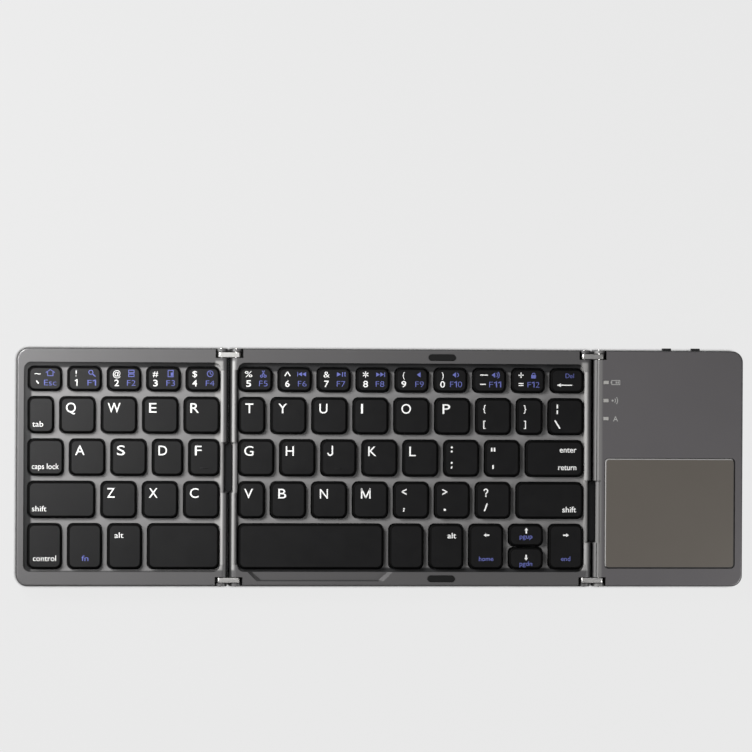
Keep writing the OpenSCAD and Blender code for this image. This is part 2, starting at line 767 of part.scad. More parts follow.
module right_housing() {
    groove_x = -plate_lap - groove_w;
    color("#66666a") on_right() difference() {
        union() {
            difference() {
                union() {
                    wing_slab(right_len, cover_top, plate_z, 0, 0);
                    difference() {
                        hinge_edge();
                        translate([groove_x, -edge_y - reach, plate_z])
                            cube([hinge_r, panel_d + 2 * reach, plate_t + reach]);
                    }
                }
                hinge_slots();
            }
            hinge_ears();
        }
        translate([0, 0, cover_top - reach]) linear_extrude(case_h) wing_cavity_plan(right_len, 0);
        pin_bores();
        cable_notch(right_cable_l, right_cable_y);
        translate([switch_x - nub_w / 2 - nub_gap, edge_y - wall_t - reach, nub_z - nub_h / 2 - nub_gap])
            cube([nub_w + switch_travel + 2 * nub_gap, wall_t + 2 * reach, nub_h + 2 * nub_gap]);
        translate([button_x - nub_w / 2 - nub_gap, edge_y - wall_t - reach, nub_z - nub_h / 2 - nub_gap])
            cube([nub_w + 2 * nub_gap, wall_t + 2 * reach, nub_h + 2 * nub_gap]);
        translate([right_len - wall_t - reach, socket_y, board_top + socket_h / 2]) rotate([0, 90, 0])
            linear_extrude(wall_t + 2 * reach)
                square([socket_h + 2 * socket_gap, socket_w + 2 * socket_gap], center = true);
    }
}

module right_bottom_cover() {
    color("#5f5f62") on_right() {
        wing_slab(right_len, foot_h, cover_top, cover_round, 0);
        cover_strip();
        for (p = board_posts()) translate([p[0], p[1], cover_top]) cylinder(r = post_r, h = post_h);
    }
}

module touchpad() {
    color("#5d5954") on_right() {
        translate([pad_x, pad_y, top_z - pad_seat]) linear_extrude(pad_t) round_rect(pad_w, pad_d, pad_r);
        translate([pad_x + pad_ledge + pad_gap, pad_y + pad_ledge + pad_gap, top_z - pad_seat - sensor_t])
            cube([pad_w - 2 * (pad_ledge + pad_gap), pad_d - 2 * (pad_ledge + pad_gap), sensor_t]);
    }
}

window_sunk = 0.05;
window_lip = 0.3;

module indicator_windows() {
    foot = board_top + lamp_h + lamp_gap;
    head = top_z - window_sunk;
    color("#c8c8c4") on_right() window_places() {
        translate([-window_w / 2, -window_d / 2, foot]) cube([window_w, window_d, head - foot]);
        translate([0, 0, plate_z - window_gap - window_lip]) linear_extrude(window_lip)
            square([window_w + 2 * window_lip, window_d + 2 * window_lip], center = true);
    }
}

// Main board, an arm beside the battery and a strip along the back wall
board_gap = 0.4;
board_back_gap = 2;
board_cut = 2;
lamp_edge = 5;
board_x0 = hinge_wall + board_gap;
board_x1 = right_len - wall_t - board_gap;
board_x2 = block_l + board_gap;
board_y0 = window_y - 2 * window_pitch - lamp_edge;
board_y1 = edge_y - wall_t - board_back_gap;
board_y2 = block_y - board_gap;
board_inner_x = board_x0 + board_arm_w;
board_inner_y = board_y1 - board_arm_d;
post_r = 1.5;
post_in = 3;
post_end = 12;
lamp_w = 1.6;
lamp_d = 0.8;
lamp_h = 0.5;
lamp_gap = 0.1;
chip_w = 6;
chip_h = 0.9;
plug_w = 5;
plug_d = 3;
plug_h = 1.6;
switch_body_w = 8;
button_body_w = 4.4;
body_d = 4;
body_h = 2.4;
flange_gap = 0.1;
flange_y = edge_y - wall_t - flange_gap - flange_t;
function board_posts() = [
    [board_x0 + post_in, board_y0 + post_in], [board_x2 + post_in, board_y1 - post_in],
    [board_x1 - post_end, board_y1 - post_in], [board_x1 - post_end, board_inner_y + post_in]
];

// Block soldered on the board, its middle at x and its back face at y
module board_block(x, y, w, d, h) {
    translate([x - w / 2, y - d, board_top]) cube([w, d, h]);
}

module main_board() {
    color("#2f5d3a") on_right() {
        translate([0, 0, board_z]) linear_extrude(board_t) polygon([
            [board_x0, board_y0], [board_inner_x, board_y0], [board_inner_x, board_inner_y],
            [board_x1, board_inner_y], [board_x1, board_y1 - board_cut], [board_x1 - board_cut, board_y1],
            [board_x2, board_y1], [board_x2, board_y2], [board_x0, board_y2]
        ]);
        window_places() board_lamp();
        board_block(board_x0 + board_arm_w / 2, board_y0 + board_arm_w, chip_w, chip_w, chip_h);
        board_block(board_inner_x + plug_w, board_inner_y + 1.5 * plug_d, plug_w, plug_d, plug_h);
        board_block(switch_x + switch_travel / 2, flange_y - flange_gap, switch_body_w, body_d, body_h);
        board_block(button_x, flange_y - button_travel - flange_gap, button_body_w, body_d, body_h);
    }
}

module board_lamp() {
    translate([-lamp_w / 2, -lamp_d / 2, board_top]) cube([lamp_w, lamp_d, lamp_h]);
}

battery_gap = 1;
battery_r = 1.2;

module battery() {
    color("#8f9094") on_right()
        translate([board_inner_x + battery_gap, board_inner_y - battery_gap - battery_w, cover_top])
            linear_extrude(battery_t) round_rect(battery_l, battery_w, battery_r);
}

module charging_socket() {
    back_t = 0.4;
    mouth_w = socket_w - 2 * socket_t;
    mouth_h = socket_h - 2 * socket_t;
    tongue_w = mouth_w / 2;
    color("#b9b9b6") on_right() translate([socket_x, socket_y, board_top]) {
        difference() {
            translate([0, -socket_w / 2, 0]) cube([socket_l, socket_w, socket_h]);
            translate([back_t, 0, socket_t]) rotate([90, 0, 90]) linear_extrude(socket_l) polygon([
                [-mouth_w / 3, 0], [mouth_w / 3, 0], [mouth_w / 2, mouth_h / 3], [mouth_w / 2, mouth_h],
                [-mouth_w / 2, mouth_h], [-mouth_w / 2, mouth_h / 3]
            ]);
        }
        translate([back_t / 2, -tongue_w / 2, socket_h / 2])
            cube([socket_l - 2 * back_t, tongue_w, 1.5 * socket_t]);
    }
}

// Nub outside the back wall and the flange that holds it in, its middle at the origin
module wall_nub() {
    inner_y = flange_y + flange_t;
    translate([-nub_w / 2, inner_y, nub_z - nub_h / 2]) cube([nub_w, edge_y + nub_proud - inner_y, nub_h]);
    translate([-nub_w / 2 - flange_lap, flange_y, nub_z - nub_h / 2 - flange_lap])
        cube([nub_w + 2 * flange_lap, flange_t, nub_h + 2 * flange_lap]);
}

module power_switch() { color("#1d1d1f") on_right() translate([switch_x, 0, 0]) wall_nub(); }
module pairing_button() { color("#1d1d1f") on_right() translate([button_x, 0, 0]) wall_nub(); }

// Side view of a link, its left pin axis at the origin
module link_outline() {
    rise = link_crown - link_top_r;
    inset = link_end_r - link_top_r;
    for (x = [0, axis_pitch]) translate([x, 0]) circle(link_end_r);
    for (x = [-inset, axis_pitch + inset]) translate([x, rise]) circle(link_top_r);
    translate([0, -link_end_r]) square([axis_pitch, link_end_r]);
    translate([-link_end_r, 0]) square([axis_pitch + 2 * link_end_r, rise]);
    translate([-inset, rise]) square([axis_pitch + 2 * inset, link_top_r]);
}

module hinge_links() {
    outer_y = edge_y - ear_t - link_side_gap;
    for (s = [0, 1]) mirror([0, s, 0])
        translate([0, 0, axis_z]) along_y(outer_y - link_t, outer_y) difference() {
            link_outline();
            for (x = [0, axis_pitch]) translate([x, 0]) circle(pin_r + pin_fit);
        }
}

module left_hinge_links() { color("#c4c4c0") translate([left_axis_x, body_y, 0]) hinge_links(); }
module right_hinge_links() { color("#c4c4c0") translate([middle_right_x, body_y, 0]) hinge_links(); }

module cable_cover(l, y) {
    cut = cable_cut;
    h = l / 2;
    w = cable_half;
    translate([0, y + body_y, axis_z - cable_t]) linear_extrude(cable_t) polygon([
        [-w, cut - h], [cut - w, -h], [w - cut, -h], [w, cut - h],
        [w, h - cut], [w - cut, h], [cut - w, h], [-w, h - cut]
    ]);
}

module left_cable_cover() {
    color("#1b1b1d") translate([left_gap_x, 0, 0]) cable_cover(left_cable_l, left_cable_y);
}

module right_cable_cover() {
    color("#1b1b1d") translate([right_gap_x, 0, 0]) cable_cover(right_cable_l, right_cable_y);
}

left_case();
left_key_mat();
left_bottom_cover();
left_pins();
left_feet();
middle_case();
middle_key_mat();
middle_bottom_cover();
middle_pins();
middle_feet();
fold_bumpers();
right_top_plate();
right_housing();
right_bottom_cover();
right_pins();
right_feet();
touchpad();
indicator_windows();
main_board();
battery();
charging_socket();
power_switch();
pairing_button();
left_hinge_links();
right_hinge_links();
left_cable_cover();
right_cable_cover();
for (entry = KEYS) key_caps(entry[1]);
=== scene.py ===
"""Looks of a three-panel folding keyboard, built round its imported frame. Sizes are in millimetres."""

import json
import logging
import math
from dataclasses import dataclass, field, replace
from enum import Enum
from functools import cache

import bmesh
import bpy
from mathutils import Matrix, Vector


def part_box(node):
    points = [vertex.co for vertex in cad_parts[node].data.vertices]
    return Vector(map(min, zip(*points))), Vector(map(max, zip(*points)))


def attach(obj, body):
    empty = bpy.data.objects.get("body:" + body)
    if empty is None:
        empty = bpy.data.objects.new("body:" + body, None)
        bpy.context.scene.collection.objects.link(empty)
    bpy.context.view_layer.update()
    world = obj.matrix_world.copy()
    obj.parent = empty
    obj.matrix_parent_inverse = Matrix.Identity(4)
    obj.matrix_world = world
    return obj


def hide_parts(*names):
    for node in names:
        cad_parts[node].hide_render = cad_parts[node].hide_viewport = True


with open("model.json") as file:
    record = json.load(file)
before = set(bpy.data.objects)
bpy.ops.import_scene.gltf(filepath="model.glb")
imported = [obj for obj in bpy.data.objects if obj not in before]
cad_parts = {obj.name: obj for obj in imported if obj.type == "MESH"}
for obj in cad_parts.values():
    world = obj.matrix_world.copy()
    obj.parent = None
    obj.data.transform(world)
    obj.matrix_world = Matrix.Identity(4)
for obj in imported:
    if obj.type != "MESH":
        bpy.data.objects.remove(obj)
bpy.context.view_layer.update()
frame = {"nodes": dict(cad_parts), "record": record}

MM = 0.001
log = logging.getLogger("keyboard")

Colour = tuple[float, float, float]
Point = tuple[float, float]
Socket = bpy.types.NodeSocket
Sockets = bpy.types.bpy_prop_collection
Feeds = dict[str | int, object]


# ---------------------------------------------------------------- shader building


class Nodes:
    """A node tree with short ways to add nodes and join their sockets."""

    def __init__(self, tree: bpy.types.NodeTree) -> None:
        """Keeps the tree.

        Args:
            tree: the material's or the group's node tree.
        """
        self.tree = tree

    def feed(self, socket: Socket, value: object) -> None:
        """Joins an input to an output, or sets it.

        Args:
            socket: the input.
            value: an output socket, a number, or a colour of three parts.
        """
        if isinstance(value, Socket):
            self.tree.links.new(value, socket)
        else:
            socket.default_value = (*value, 1) if isinstance(value, tuple) else value

    def add(self, kind: str, feeds: Feeds | None = None, **settings: object) -> bpy.types.Node:
        """Adds a node.

        Args:
            kind: Blender's name of the node's type.
            feeds: what its inputs get, by their names or numbers.
            settings: properties of the node, set by name before its inputs.

        Returns:
            The new node.
        """
        node = self.tree.nodes.new(kind)
        for name, value in settings.items():
            setattr(node, name, value)
        for name, value in (feeds or {}).items():
            self.feed(node.inputs[name], value)
        return node

    def group(self, tree: bpy.types.NodeTree, feeds: Feeds) -> Sockets:
        """Places a node group and gives its outputs."""
        return self.add("ShaderNodeGroup", feeds, node_tree=tree).outputs

    def parts(self, vector: Socket) -> Sockets:
        """Gives the X, Y and Z of a vector."""
        return self.add("ShaderNodeSeparateXYZ", {0: vector}).outputs

    def math(self, operation: str, first: object, second: object = 0.0, clamp: bool = False) -> Socket:
        """Adds a Math node.

        Args:
            operation: the name of the operation.
            first: a socket or a number.
            second: a socket or a number.
            clamp: whether the result is kept between 0 and 1.

        Returns:
            The result's socket.
        """
        node = self.add("ShaderNodeMath", {0: first, 1: second}, operation=operation, use_clamp=clamp)
        return node.outputs[0]

    def mix(self, mask: Socket, low: object, high: object) -> Socket:
        """Adds a colour Mix node.

        Args:
            mask: the socket that picks between the colours, from 0 to 1.
            low: colour or socket where the mask is 0.
            high: colour or socket where the mask is 1.

        Returns:
            The mixed colour's socket.
        """
        return self.add("ShaderNodeMix", {"Factor": mask, 6: low, 7: high}, data_type="RGBA").outputs[2]

    def rise(self, value: Socket, ends: Point) -> Socket:
        """Gives a mask that rises from 0 to 1 as a value goes from one end to the other."""
        feeds = {"Value": value, "From Min": ends[0], "From Max": ends[1]}
        return self.add("ShaderNodeMapRange", feeds).outputs["Result"]

    def noise(self, vector: Socket, scale: object, detail: float = 2.0, distortion: float = 0.0) -> Socket:
        """Adds a noise texture.

        Args:
            vector: the socket of the place.
            scale: a socket or a number, larger for a finer pattern.
            detail: how many finer layers it has.
            distortion: how much it is stirred.

        Returns:
            The socket of its value, around a half.
        """
        feeds = {"Vector": vector, "Scale": scale, "Detail": detail, "Distortion": distortion}
        return self.add("ShaderNodeTexNoise", feeds).outputs["Fac"]


class Effects:
    """The node groups that finishes share, each built once."""

    @staticmethod
    def _start(name: str, inputs: dict[str, object], outputs: tuple[str, ...]) -> tuple:
        """Starts a group.

        Args:
            name: the group's name.
            inputs: default value of each input; a vector input has the value None.
            outputs: the names of its outputs.

        Returns:
            The group's Nodes, the sockets of its inputs and the sockets of its outputs.
        """
        tree = bpy.data.node_groups.new(name, "ShaderNodeTree")
        for label, value in inputs.items():
            kind = "NodeSocketVector" if value is None else "NodeSocketFloat"
            kind = "NodeSocketColor" if isinstance(value, tuple) else kind
            socket = tree.interface.new_socket(label, in_out="INPUT", socket_type=kind)
            if value is not None:
                socket.default_value = value
        for label in outputs:
            kind = "NodeSocketColor" if label == "Colour" else "NodeSocketFloat"
            tree.interface.new_socket(label, in_out="OUTPUT", socket_type=kind)
        nodes = Nodes(tree)
        return nodes, nodes.add("NodeGroupInput").outputs, nodes.add("NodeGroupOutput").inputs

    @staticmethod
    @cache
    def grained() -> bpy.types.NodeTree:
        """A moulded or painted surface: fine grain, faint cloudiness, a few rubbed spots.

        Returns:
            The group, with Colour, Roughness and Height outputs.
        """
        nodes, given, out = Effects._start(
            "grained",
            {"Vector": None, "Colour": (0.5, 0.5, 0.5, 1), "Roughness": 0.5, "Grain Scale": 4000.0,
             "Cloudiness": 0.05, "Rubbing": 0.05},
            ("Colour", "Roughness", "Height"),
        )
        cloud = nodes.noise(given["Vector"], 55, detail=4)
        shift = nodes.math("MULTIPLY", nodes.math("SUBTRACT", cloud, 0.5), given["Cloudiness"])
        value = nodes.math("ADD", nodes.math("MULTIPLY", shift, 2.0), 1.0)
        tint = nodes.add("ShaderNodeHueSaturation", {"Color": given["Colour"], "Value": value})
        nodes.feed(out["Colour"], tint.outputs["Color"])
        rub = nodes.noise(given["Vector"], 160, detail=6, distortion=0.6)
        rubbed = nodes.math("MULTIPLY", nodes.math("SUBTRACT", rub, 0.5), given["Rubbing"])
        nodes.feed(out["Roughness"], nodes.math("SUBTRACT", given["Roughness"], rubbed))
        nodes.feed(out["Height"], nodes.noise(given["Vector"], given["Grain Scale"], detail=3))
        return nodes.tree

    @staticmethod
    @cache
    def band() -> bpy.types.NodeTree:
        """A mask over heights below a level.

        Returns:
            The group, whose Mask is 1 below Level and fades to 0 over Fade.
        """
        inputs = {"Vector": None, "Level": 0.005, "Fade": 0.0001}
        nodes, given, out = Effects._start("low_band", inputs, ("Mask",))
        depth = nodes.math("SUBTRACT", given["Level"], nodes.parts(given["Vector"])["Z"])
        nodes.feed(out["Mask"], nodes.math("DIVIDE", depth, given["Fade"], clamp=True))
        return nodes.tree

    @staticmethod
    @cache
    def span() -> bpy.types.NodeTree:
        """A mask over one coordinate past a place.

        Returns:
            The group, whose Mask rises from 0 at Start to 1 at Start plus Fade.
        """
        nodes, given, out = Effects._start("span", {"Place": 0.0, "Start": 0.0, "Fade": 0.001}, ("Mask",))
        past = nodes.math("SUBTRACT", given["Place"], given["Start"])
        nodes.feed(out["Mask"], nodes.math("DIVIDE", past, given["Fade"], clamp=True))
        return nodes.tree

    @staticmethod
    @cache
    def level_faces() -> bpy.types.NodeTree:
        """A mask over faces that lie level.

        Returns:
            The group, whose Mask is 1 on level faces and 0 on steep ones.
        """
        steep, level = 0.55, 0.9
        nodes, given, out = Effects._start("level_faces", {"Normal": None}, ("Mask",))
        upward = nodes.math("ABSOLUTE", nodes.parts(given["Normal"])["Z"])
        nodes.feed(out["Mask"], nodes.rise(upward, (steep, level)))
        return nodes.tree

    @staticmethod
    @cache
    def lines() -> bpy.types.NodeTree:
        """Fine parallel lines, as brushing or ribs leave on metal.

        Returns:
            The group, with a Height output and a Mask output of the worn crests.
        """
        nodes, given, out = Effects._start(
            "lines", {"Vector": None, "Line Scale": 2000.0, "Unevenness": 0.4}, ("Height", "Mask")
        )
        feeds = {"Vector": given["Vector"], "Scale": given["Line Scale"], "Distortion": given["Unevenness"],
                 "Detail": 2, "Detail Scale": 1.5}
        wave = nodes.add("ShaderNodeTexWave", feeds, bands_direction="X").outputs["Fac"]
        nodes.feed(out["Height"], wave)
        nodes.feed(out["Mask"], nodes.math("MULTIPLY", wave, nodes.noise(given["Vector"], 900)))
        return nodes.tree


@dataclass(frozen=True)
class Finish:
    """A grained surface finish.

    Attributes:
        name: the material's name.
        colour: its colour, linear.
        roughness: how matt it is.
        grain: size of the grain.
        depth: depth of the grain.
        cloudiness: how much the colour drifts.
        rubbing: how much the gloss drifts.
        metallic: 1 on bare metal.
        specular: level of the plain reflection.
    """

    name: str
    colour: Colour
    roughness: float
    grain: float = 0.25
    depth: float = 0.004
    cloudiness: float = 0.06
    rubbing: float = 0.08
    metallic: float = 0.0
    specular: float = 0.5

    def surface_colour(self, nodes: Nodes, vector: Socket) -> object:
        """Gives the colour that goes into the grain.

        Args:
            nodes: the material's nodes.
            vector: the socket of the place on the piece.

        Returns:
            A colour, or a socket where the colour changes over the piece.
        """
        return self.colour

    def surface_height(self, nodes: Nodes, vector: Socket, grain: Socket) -> Socket:
        """Gives the socket that the bump reads."""
        return grain

    def surface_roughness(self, nodes: Nodes, vector: Socket, grained: Socket) -> Socket:
        """Gives the socket that the roughness reads."""
        return grained

    def build(self) -> bpy.types.Material:
        """Builds the material, or gives the one that is built already.

        Returns:
            The material.
        """
        found = bpy.data.materials.get(self.name)
        if found:
            return found
        material = bpy.data.materials.new(self.name)
        material.use_nodes = True
        nodes = Nodes(material.node_tree)
        vector = nodes.add("ShaderNodeTexCoord").outputs["Object"]
        grained = nodes.group(Effects.grained(), {
            "Vector": vector, "Colour": self.surface_colour(nodes, vector), "Roughness": self.roughness,
            "Grain Scale": 1 / (self.grain * MM), "Cloudiness": self.cloudiness, "Rubbing": self.rubbing,
        })
        height = self.surface_height(nodes, vector, grained["Height"])
        bump = nodes.add("ShaderNodeBump", {"Height": height, "Distance": self.depth * MM, "Strength": 1})
        shader = material.node_tree.nodes["Principled BSDF"]
        for name, value in (
            ("Base Color", grained["Colour"]),
            ("Roughness", self.surface_roughness(nodes, vector, grained["Roughness"])),
            ("Normal", bump.outputs["Normal"]),
            ("Metallic", self.metallic),
            ("Specular IOR Level", self.specular),
        ):
            nodes.feed(shader.inputs[name], value)
        return material


@dataclass(frozen=True)
class CaseFinish(Finish):
    """A case finish with painted shade on steep faces and in each fold, and painted highlight strips beside
    each fold.

    Attributes:
        steep: how much of its colour steep faces keep; the rest is painted shade.
        painted_highlights: left and right edges of the painted highlight strips.
        painted_highlight_ends: front and back ends of the painted highlight strips.
        painted_highlight_colour: colour of the painted highlight strips.
        fade: width over which the colours change.
        steep_roughness: how matt steep faces are.
        kept: ends, across and along, of a place where steep faces keep their colour, spared the painted
            shade.
        painted_fold_shades: left and right edges of the places where steep faces are painted nearly black, as
            painted shade in the fold.
        painted_fold_shade_colour: colour of that painted shade.
    """

    steep: float = 0.25
    painted_highlights: tuple[Point, ...] = ()
    painted_highlight_ends: Point = (-60.0, 60.0)
    painted_highlight_colour: Colour = (0.26, 0.255, 0.25)
    fade: float = 0.8
    steep_roughness: float = 0.9
    kept: tuple[Point, ...] = ()
    painted_fold_shades: tuple[Point, ...] = ()
    painted_fold_shade_colour: Colour = (0.002, 0.002, 0.002)

    def past(self, nodes: Nodes, place: Socket, start: float) -> Socket:
        """Gives the mask of what lies past a place.

        Args:
            nodes: the material's nodes.
            place: the socket of one coordinate.
            start: where the mask leaves 0.

        Returns:
            The mask's socket.
        """
        feeds = {"Place": place, "Start": start * MM, "Fade": self.fade * MM}
        return nodes.group(Effects.span(), feeds)["Mask"]

    def between(self, nodes: Nodes, place: Socket, ends: Point) -> Socket:
        """Gives the mask of what lies between two places."""
        before = nodes.math("SUBTRACT", 1.0, self.past(nodes, place, ends[1] - self.fade))
        return nodes.math("MULTIPLY", self.past(nodes, place, ends[0]), before)

    def level_colour(self, nodes: Nodes, vector: Socket) -> object:
        """Gives the colour of level faces."""
        return self.colour

    def level_mask(self, nodes: Nodes, vector: Socket) -> Socket:
        """Gives the mask of the faces that lie level."""
        return nodes.group(Effects.level_faces(), {"Normal": vector.node.outputs["Normal"]})["Mask"]

    def surface_roughness(self, nodes: Nodes, vector: Socket, grained: Socket) -> Socket:
        """Makes steep faces more matt.

        Args:
            nodes: the material's nodes.
            vector: the socket of the place on the piece.
            grained: the socket of the grain's roughness.

        Returns:
            The socket that the roughness reads.
        """
        less = nodes.math("SUBTRACT", grained, self.steep_roughness)
        less = nodes.math("MULTIPLY", less, self.level_mask(nodes, vector))
        return nodes.math("ADD", less, self.steep_roughness)

    def surface_colour(self, nodes: Nodes, vector: Socket) -> object:
        """Mixes the colours by slope and place: painted shade on steep faces and in each fold, and painted
        highlight strips beside each fold.

        Args:
            nodes: the material's nodes.
            vector: the socket of the place on the piece.

        Returns:
            The mixed colour's socket.
        """
        parts = nodes.parts(vector)
        # steep faces are darkened as painted shade, except in the kept place
        dark = tuple(part * self.steep for part in self.colour)
        level = self.level_mask(nodes, vector)
        if self.kept:
            across, along = (self.between(nodes, parts[axis], ends) for axis, ends in zip("XY", self.kept))
            level = nodes.math("MAXIMUM", level, nodes.math("MULTIPLY", across, along))
        whole = nodes.mix(level, dark, self.level_colour(nodes, vector))
        # painted highlight strips beside each fold, lighter on every slope
        along = self.between(nodes, parts["Y"], self.painted_highlight_ends)
        for painted_highlight in self.painted_highlights:
            across = self.between(nodes, parts["X"], painted_highlight)
            whole = nodes.mix(nodes.math("MULTIPLY", across, along), whole, self.painted_highlight_colour)
        # steep faces in each fold are painted nearly black as painted shade
        for fold in self.painted_fold_shades:
            across = self.between(nodes, parts["X"], fold)
            deep = nodes.math("MULTIPLY", across, nodes.math("SUBTRACT", 1.0, level))
            whole = nodes.mix(deep, whole, self.painted_fold_shade_colour)
        return whole


@dataclass(frozen=True)
class WellFinish(CaseFinish):
    """A case finish whose key grid, below a level, is a lighter shade, with painted shade on its margin along
    the walls of the well.

    Attributes:
        grid_colour: colour of the grid between the keys.
        margin_colour: colour of the painted shade on the grid outside the keys.
        level: height of the grid's top face.
        level_fade: height over which the grid's colours go over to the rim's.
        field: left, front and back edges of the grid's lighter part; outside them the grid has the painted
            shade.
    """

    grid_colour: Colour = (0.165, 0.162, 0.162)
    margin_colour: Colour = (0.025, 0.025, 0.026)
    level: float = 5.7
    level_fade: float = 0.05
    field: tuple[float, float, float] = (0.0, 0.0, 0.0)

    def level_colour(self, nodes: Nodes, vector: Socket) -> object:
        """Mixes the rim's and the grid's colours by place, with painted shade on the grid's margin.

        Args:
            nodes: the material's nodes.
            vector: the socket of the place on the piece.

        Returns:
            The mixed colour's socket.
        """
        left, front, back = self.field
        parts = nodes.parts(vector)
        # the grid's margin next to the well's walls gets painted shade
        grid = nodes.mix(self.past(nodes, parts["X"], left), self.margin_colour, self.grid_colour)
        grid = nodes.mix(self.past(nodes, parts["Y"], front), self.margin_colour, grid)
        grid = nodes.mix(self.past(nodes, parts["Y"], back - self.fade), grid, self.margin_colour)
        feeds = {"Vector": vector, "Level": self.level * MM, "Fade": self.level_fade * MM}
        return nodes.mix(nodes.group(Effects.band(), feeds)["Mask"], self.colour, grid)


@dataclass(frozen=True)
class RibbedFinish(Finish):
    """A metal finish with fine ribs across it.

    Attributes:
        pitch: distance between ribs.
        rib_height: height of the ribs, as a multiple of the grain's.
        crest_colour: colour of the worn crests.
    """

    pitch: float = 0.5
    rib_height: float = 3.0
    crest_colour: Colour = (0.8, 0.79, 0.77)

    def _ribs(self, nodes: Nodes, vector: Socket) -> Sockets:
        """Places the group of lines."""
        scale = math.pi / (10 * self.pitch * MM)
        return nodes.group(Effects.lines(), {"Vector": vector, "Line Scale": scale})

    def surface_colour(self, nodes: Nodes, vector: Socket) -> object:
        """Lightens the crests of the ribs."""
        return nodes.mix(self._ribs(nodes, vector)["Mask"], self.colour, self.crest_colour)

    def surface_height(self, nodes: Nodes, vector: Socket, grain: Socket) -> Socket:
        """Adds the ribs to the grain."""
        ribs = nodes.math("MULTIPLY", self._ribs(nodes, vector)["Height"], self.rib_height)
        return nodes.math("ADD", ribs, grain)


SATIN = {
    "colour": (0.084, 0.082, 0.083), "roughness": 0.31, "grain": 0.18, "depth": 0.0015, "cloudiness": 0.04,
}
# the case paints darken steep faces as painted shade
CASE_PAINT = CaseFinish("satin_case_paint", **SATIN)
WELL_PAINT = WellFinish("satin_well_paint", **SATIN)
COVER_PLASTIC = Finish("textured_cover", (0.085, 0.085, 0.088), 0.55, grain=0.35, depth=0.012)
KEY_PLASTIC = Finish("matt_key_plastic", (0.0033, 0.0032, 0.0035), 0.38, grain=0.16, depth=0.0015,
                     cloudiness=0.15, specular=0.42)
# darker, duller sides of the caps: painted shade
KEY_SIDE_SHADE = Finish("key_sides_painted_shade", (0.0012, 0.0012, 0.0012), 0.7, grain=0.16, depth=0.002, specular=0.06)
# painted highlight and painted shade for the touchpad's rounded edge, by which way it faces
PAD_RIM_HIGHLIGHT = Finish("touchpad_rim_painted_highlight", (0.27, 0.265, 0.26), 0.5, grain=0.12, depth=0.0012, specular=0.4)
PAD_RIM_SHADE = Finish("touchpad_rim_painted_shade", (0.035, 0.034, 0.033), 0.6, grain=0.12, depth=0.0012, specular=0.2)
WHITE_INK = Finish("white_legend_ink", (0.72, 0.72, 0.71), 0.6, grain=0.1, depth=0.001)
BLUE_INK = Finish("blue_legend_ink", (0.09, 0.105, 0.33), 0.6, grain=0.1, depth=0.001)
GREY_INK = Finish("grey_mark_ink", (0.3, 0.3, 0.29), 0.5, grain=0.1, depth=0.001)
LINK_METAL = RibbedFinish("ribbed_link_metal", (0.52, 0.51, 0.5), 0.45, grain=0.12, depth=0.006,
                          metallic=1.0, cloudiness=0.1)
PIN_METAL = Finish("turned_pin_metal", (0.55, 0.54, 0.52), 0.25, grain=0.08, depth=0.003, metallic=1.0)
PAD_GLASS = Finish("touchpad_lacquer", (0.093, 0.083, 0.072), 0.4, grain=0.12, depth=0.0012,
                   cloudiness=0.03, specular=0.4)
RUBBER = Finish("black_rubber", (0.0045, 0.0045, 0.0045), 0.75, grain=0.2, depth=0.006, specular=0.18)
FLEX_COVER = Finish("cable_cover", (0.0045, 0.0045, 0.005), 0.6, grain=0.3, depth=0.006, specular=0.2)
BLACK_PLASTIC = Finish("black_moulding", (0.015, 0.015, 0.016), 0.42, grain=0.15, depth=0.003)
WINDOW = Finish("milky_window", (0.33, 0.325, 0.31), 0.3, grain=0.2, depth=0.002, cloudiness=0.1)
MAT_SILICONE = Finish("mat_silicone", (0.03, 0.03, 0.032), 0.65, grain=0.3, depth=0.006)
BOARD_MASK = Finish("solder_mask", (0.015, 0.07, 0.03), 0.4, grain=0.4, depth=0.006)
FOIL = Finish("battery_pouch", (0.5, 0.5, 0.52), 0.35, grain=1.2, depth=0.05, metallic=1.0)
SOCKET_METAL = Finish("socket_plating", (0.6, 0.59, 0.57), 0.3, grain=0.1, depth=0.003, metallic=1.0)


# ---------------------------------------------------------------- mesh building

WELD = 0.001           # points of a CAD node closer than this are one
FONT_WELD = 0.0005     # the same for the outline of a letter
LEVEL_NORMAL = 0.99    # least Z of the normal of a top face


@dataclass(frozen=True)
class Box:
    """The box of a solid.

    Attributes:
        low: its lowest corner.
        high: its highest corner.
    """

    low: Vector
    high: Vector

    @property
    def size(self) -> Vector:
        """The box's three lengths."""
        return self.high - self.low

    @property
    def centre(self) -> Vector:
        """The box's middle."""
        return (self.low + self.high) / 2

    @classmethod
    def of_node(cls, node: str) -> "Box":
        """The box of a whole CAD node."""
        low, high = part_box(node)
        return cls(low / MM, high / MM)


def scene_object(name: str, data: bpy.types.ID) -> bpy.types.Object:
    """Makes an object in the scene.

    Args:
        name: its name.
        data: its mesh, curve, lamp or camera.

    Returns:
        The object.
    """
    made = bpy.data.objects.new(name, data)
    bpy.context.scene.collection.objects.link(made)
    return made


def move(bm: bmesh.types.BMesh, x: float = 0.0, y: float = 0.0, z: float = 0.0) -> None:
    """Moves a whole mesh."""
    bmesh.ops.translate(bm, vec=(x, y, z), verts=bm.verts)


def lift(bm: bmesh.types.BMesh, faces: list[bmesh.types.BMFace], height: float, keep: bool = True) -> None:
    """Extrudes faces straight up.

    Args:
        bm: the mesh.
        faces: the faces, which are extruded together.
        height: how far they go.
        keep: whether they stay below too, as the underside of a flat shape.
    """
    extruded = bmesh.ops.extrude_face_region(bm, geom=faces, use_keep_orig=keep)["geom"]
    moved = [item for item in extruded if isinstance(item, bmesh.types.BMVert)]
    bmesh.ops.translate(bm, vec=(0, 0, height), verts=moved)


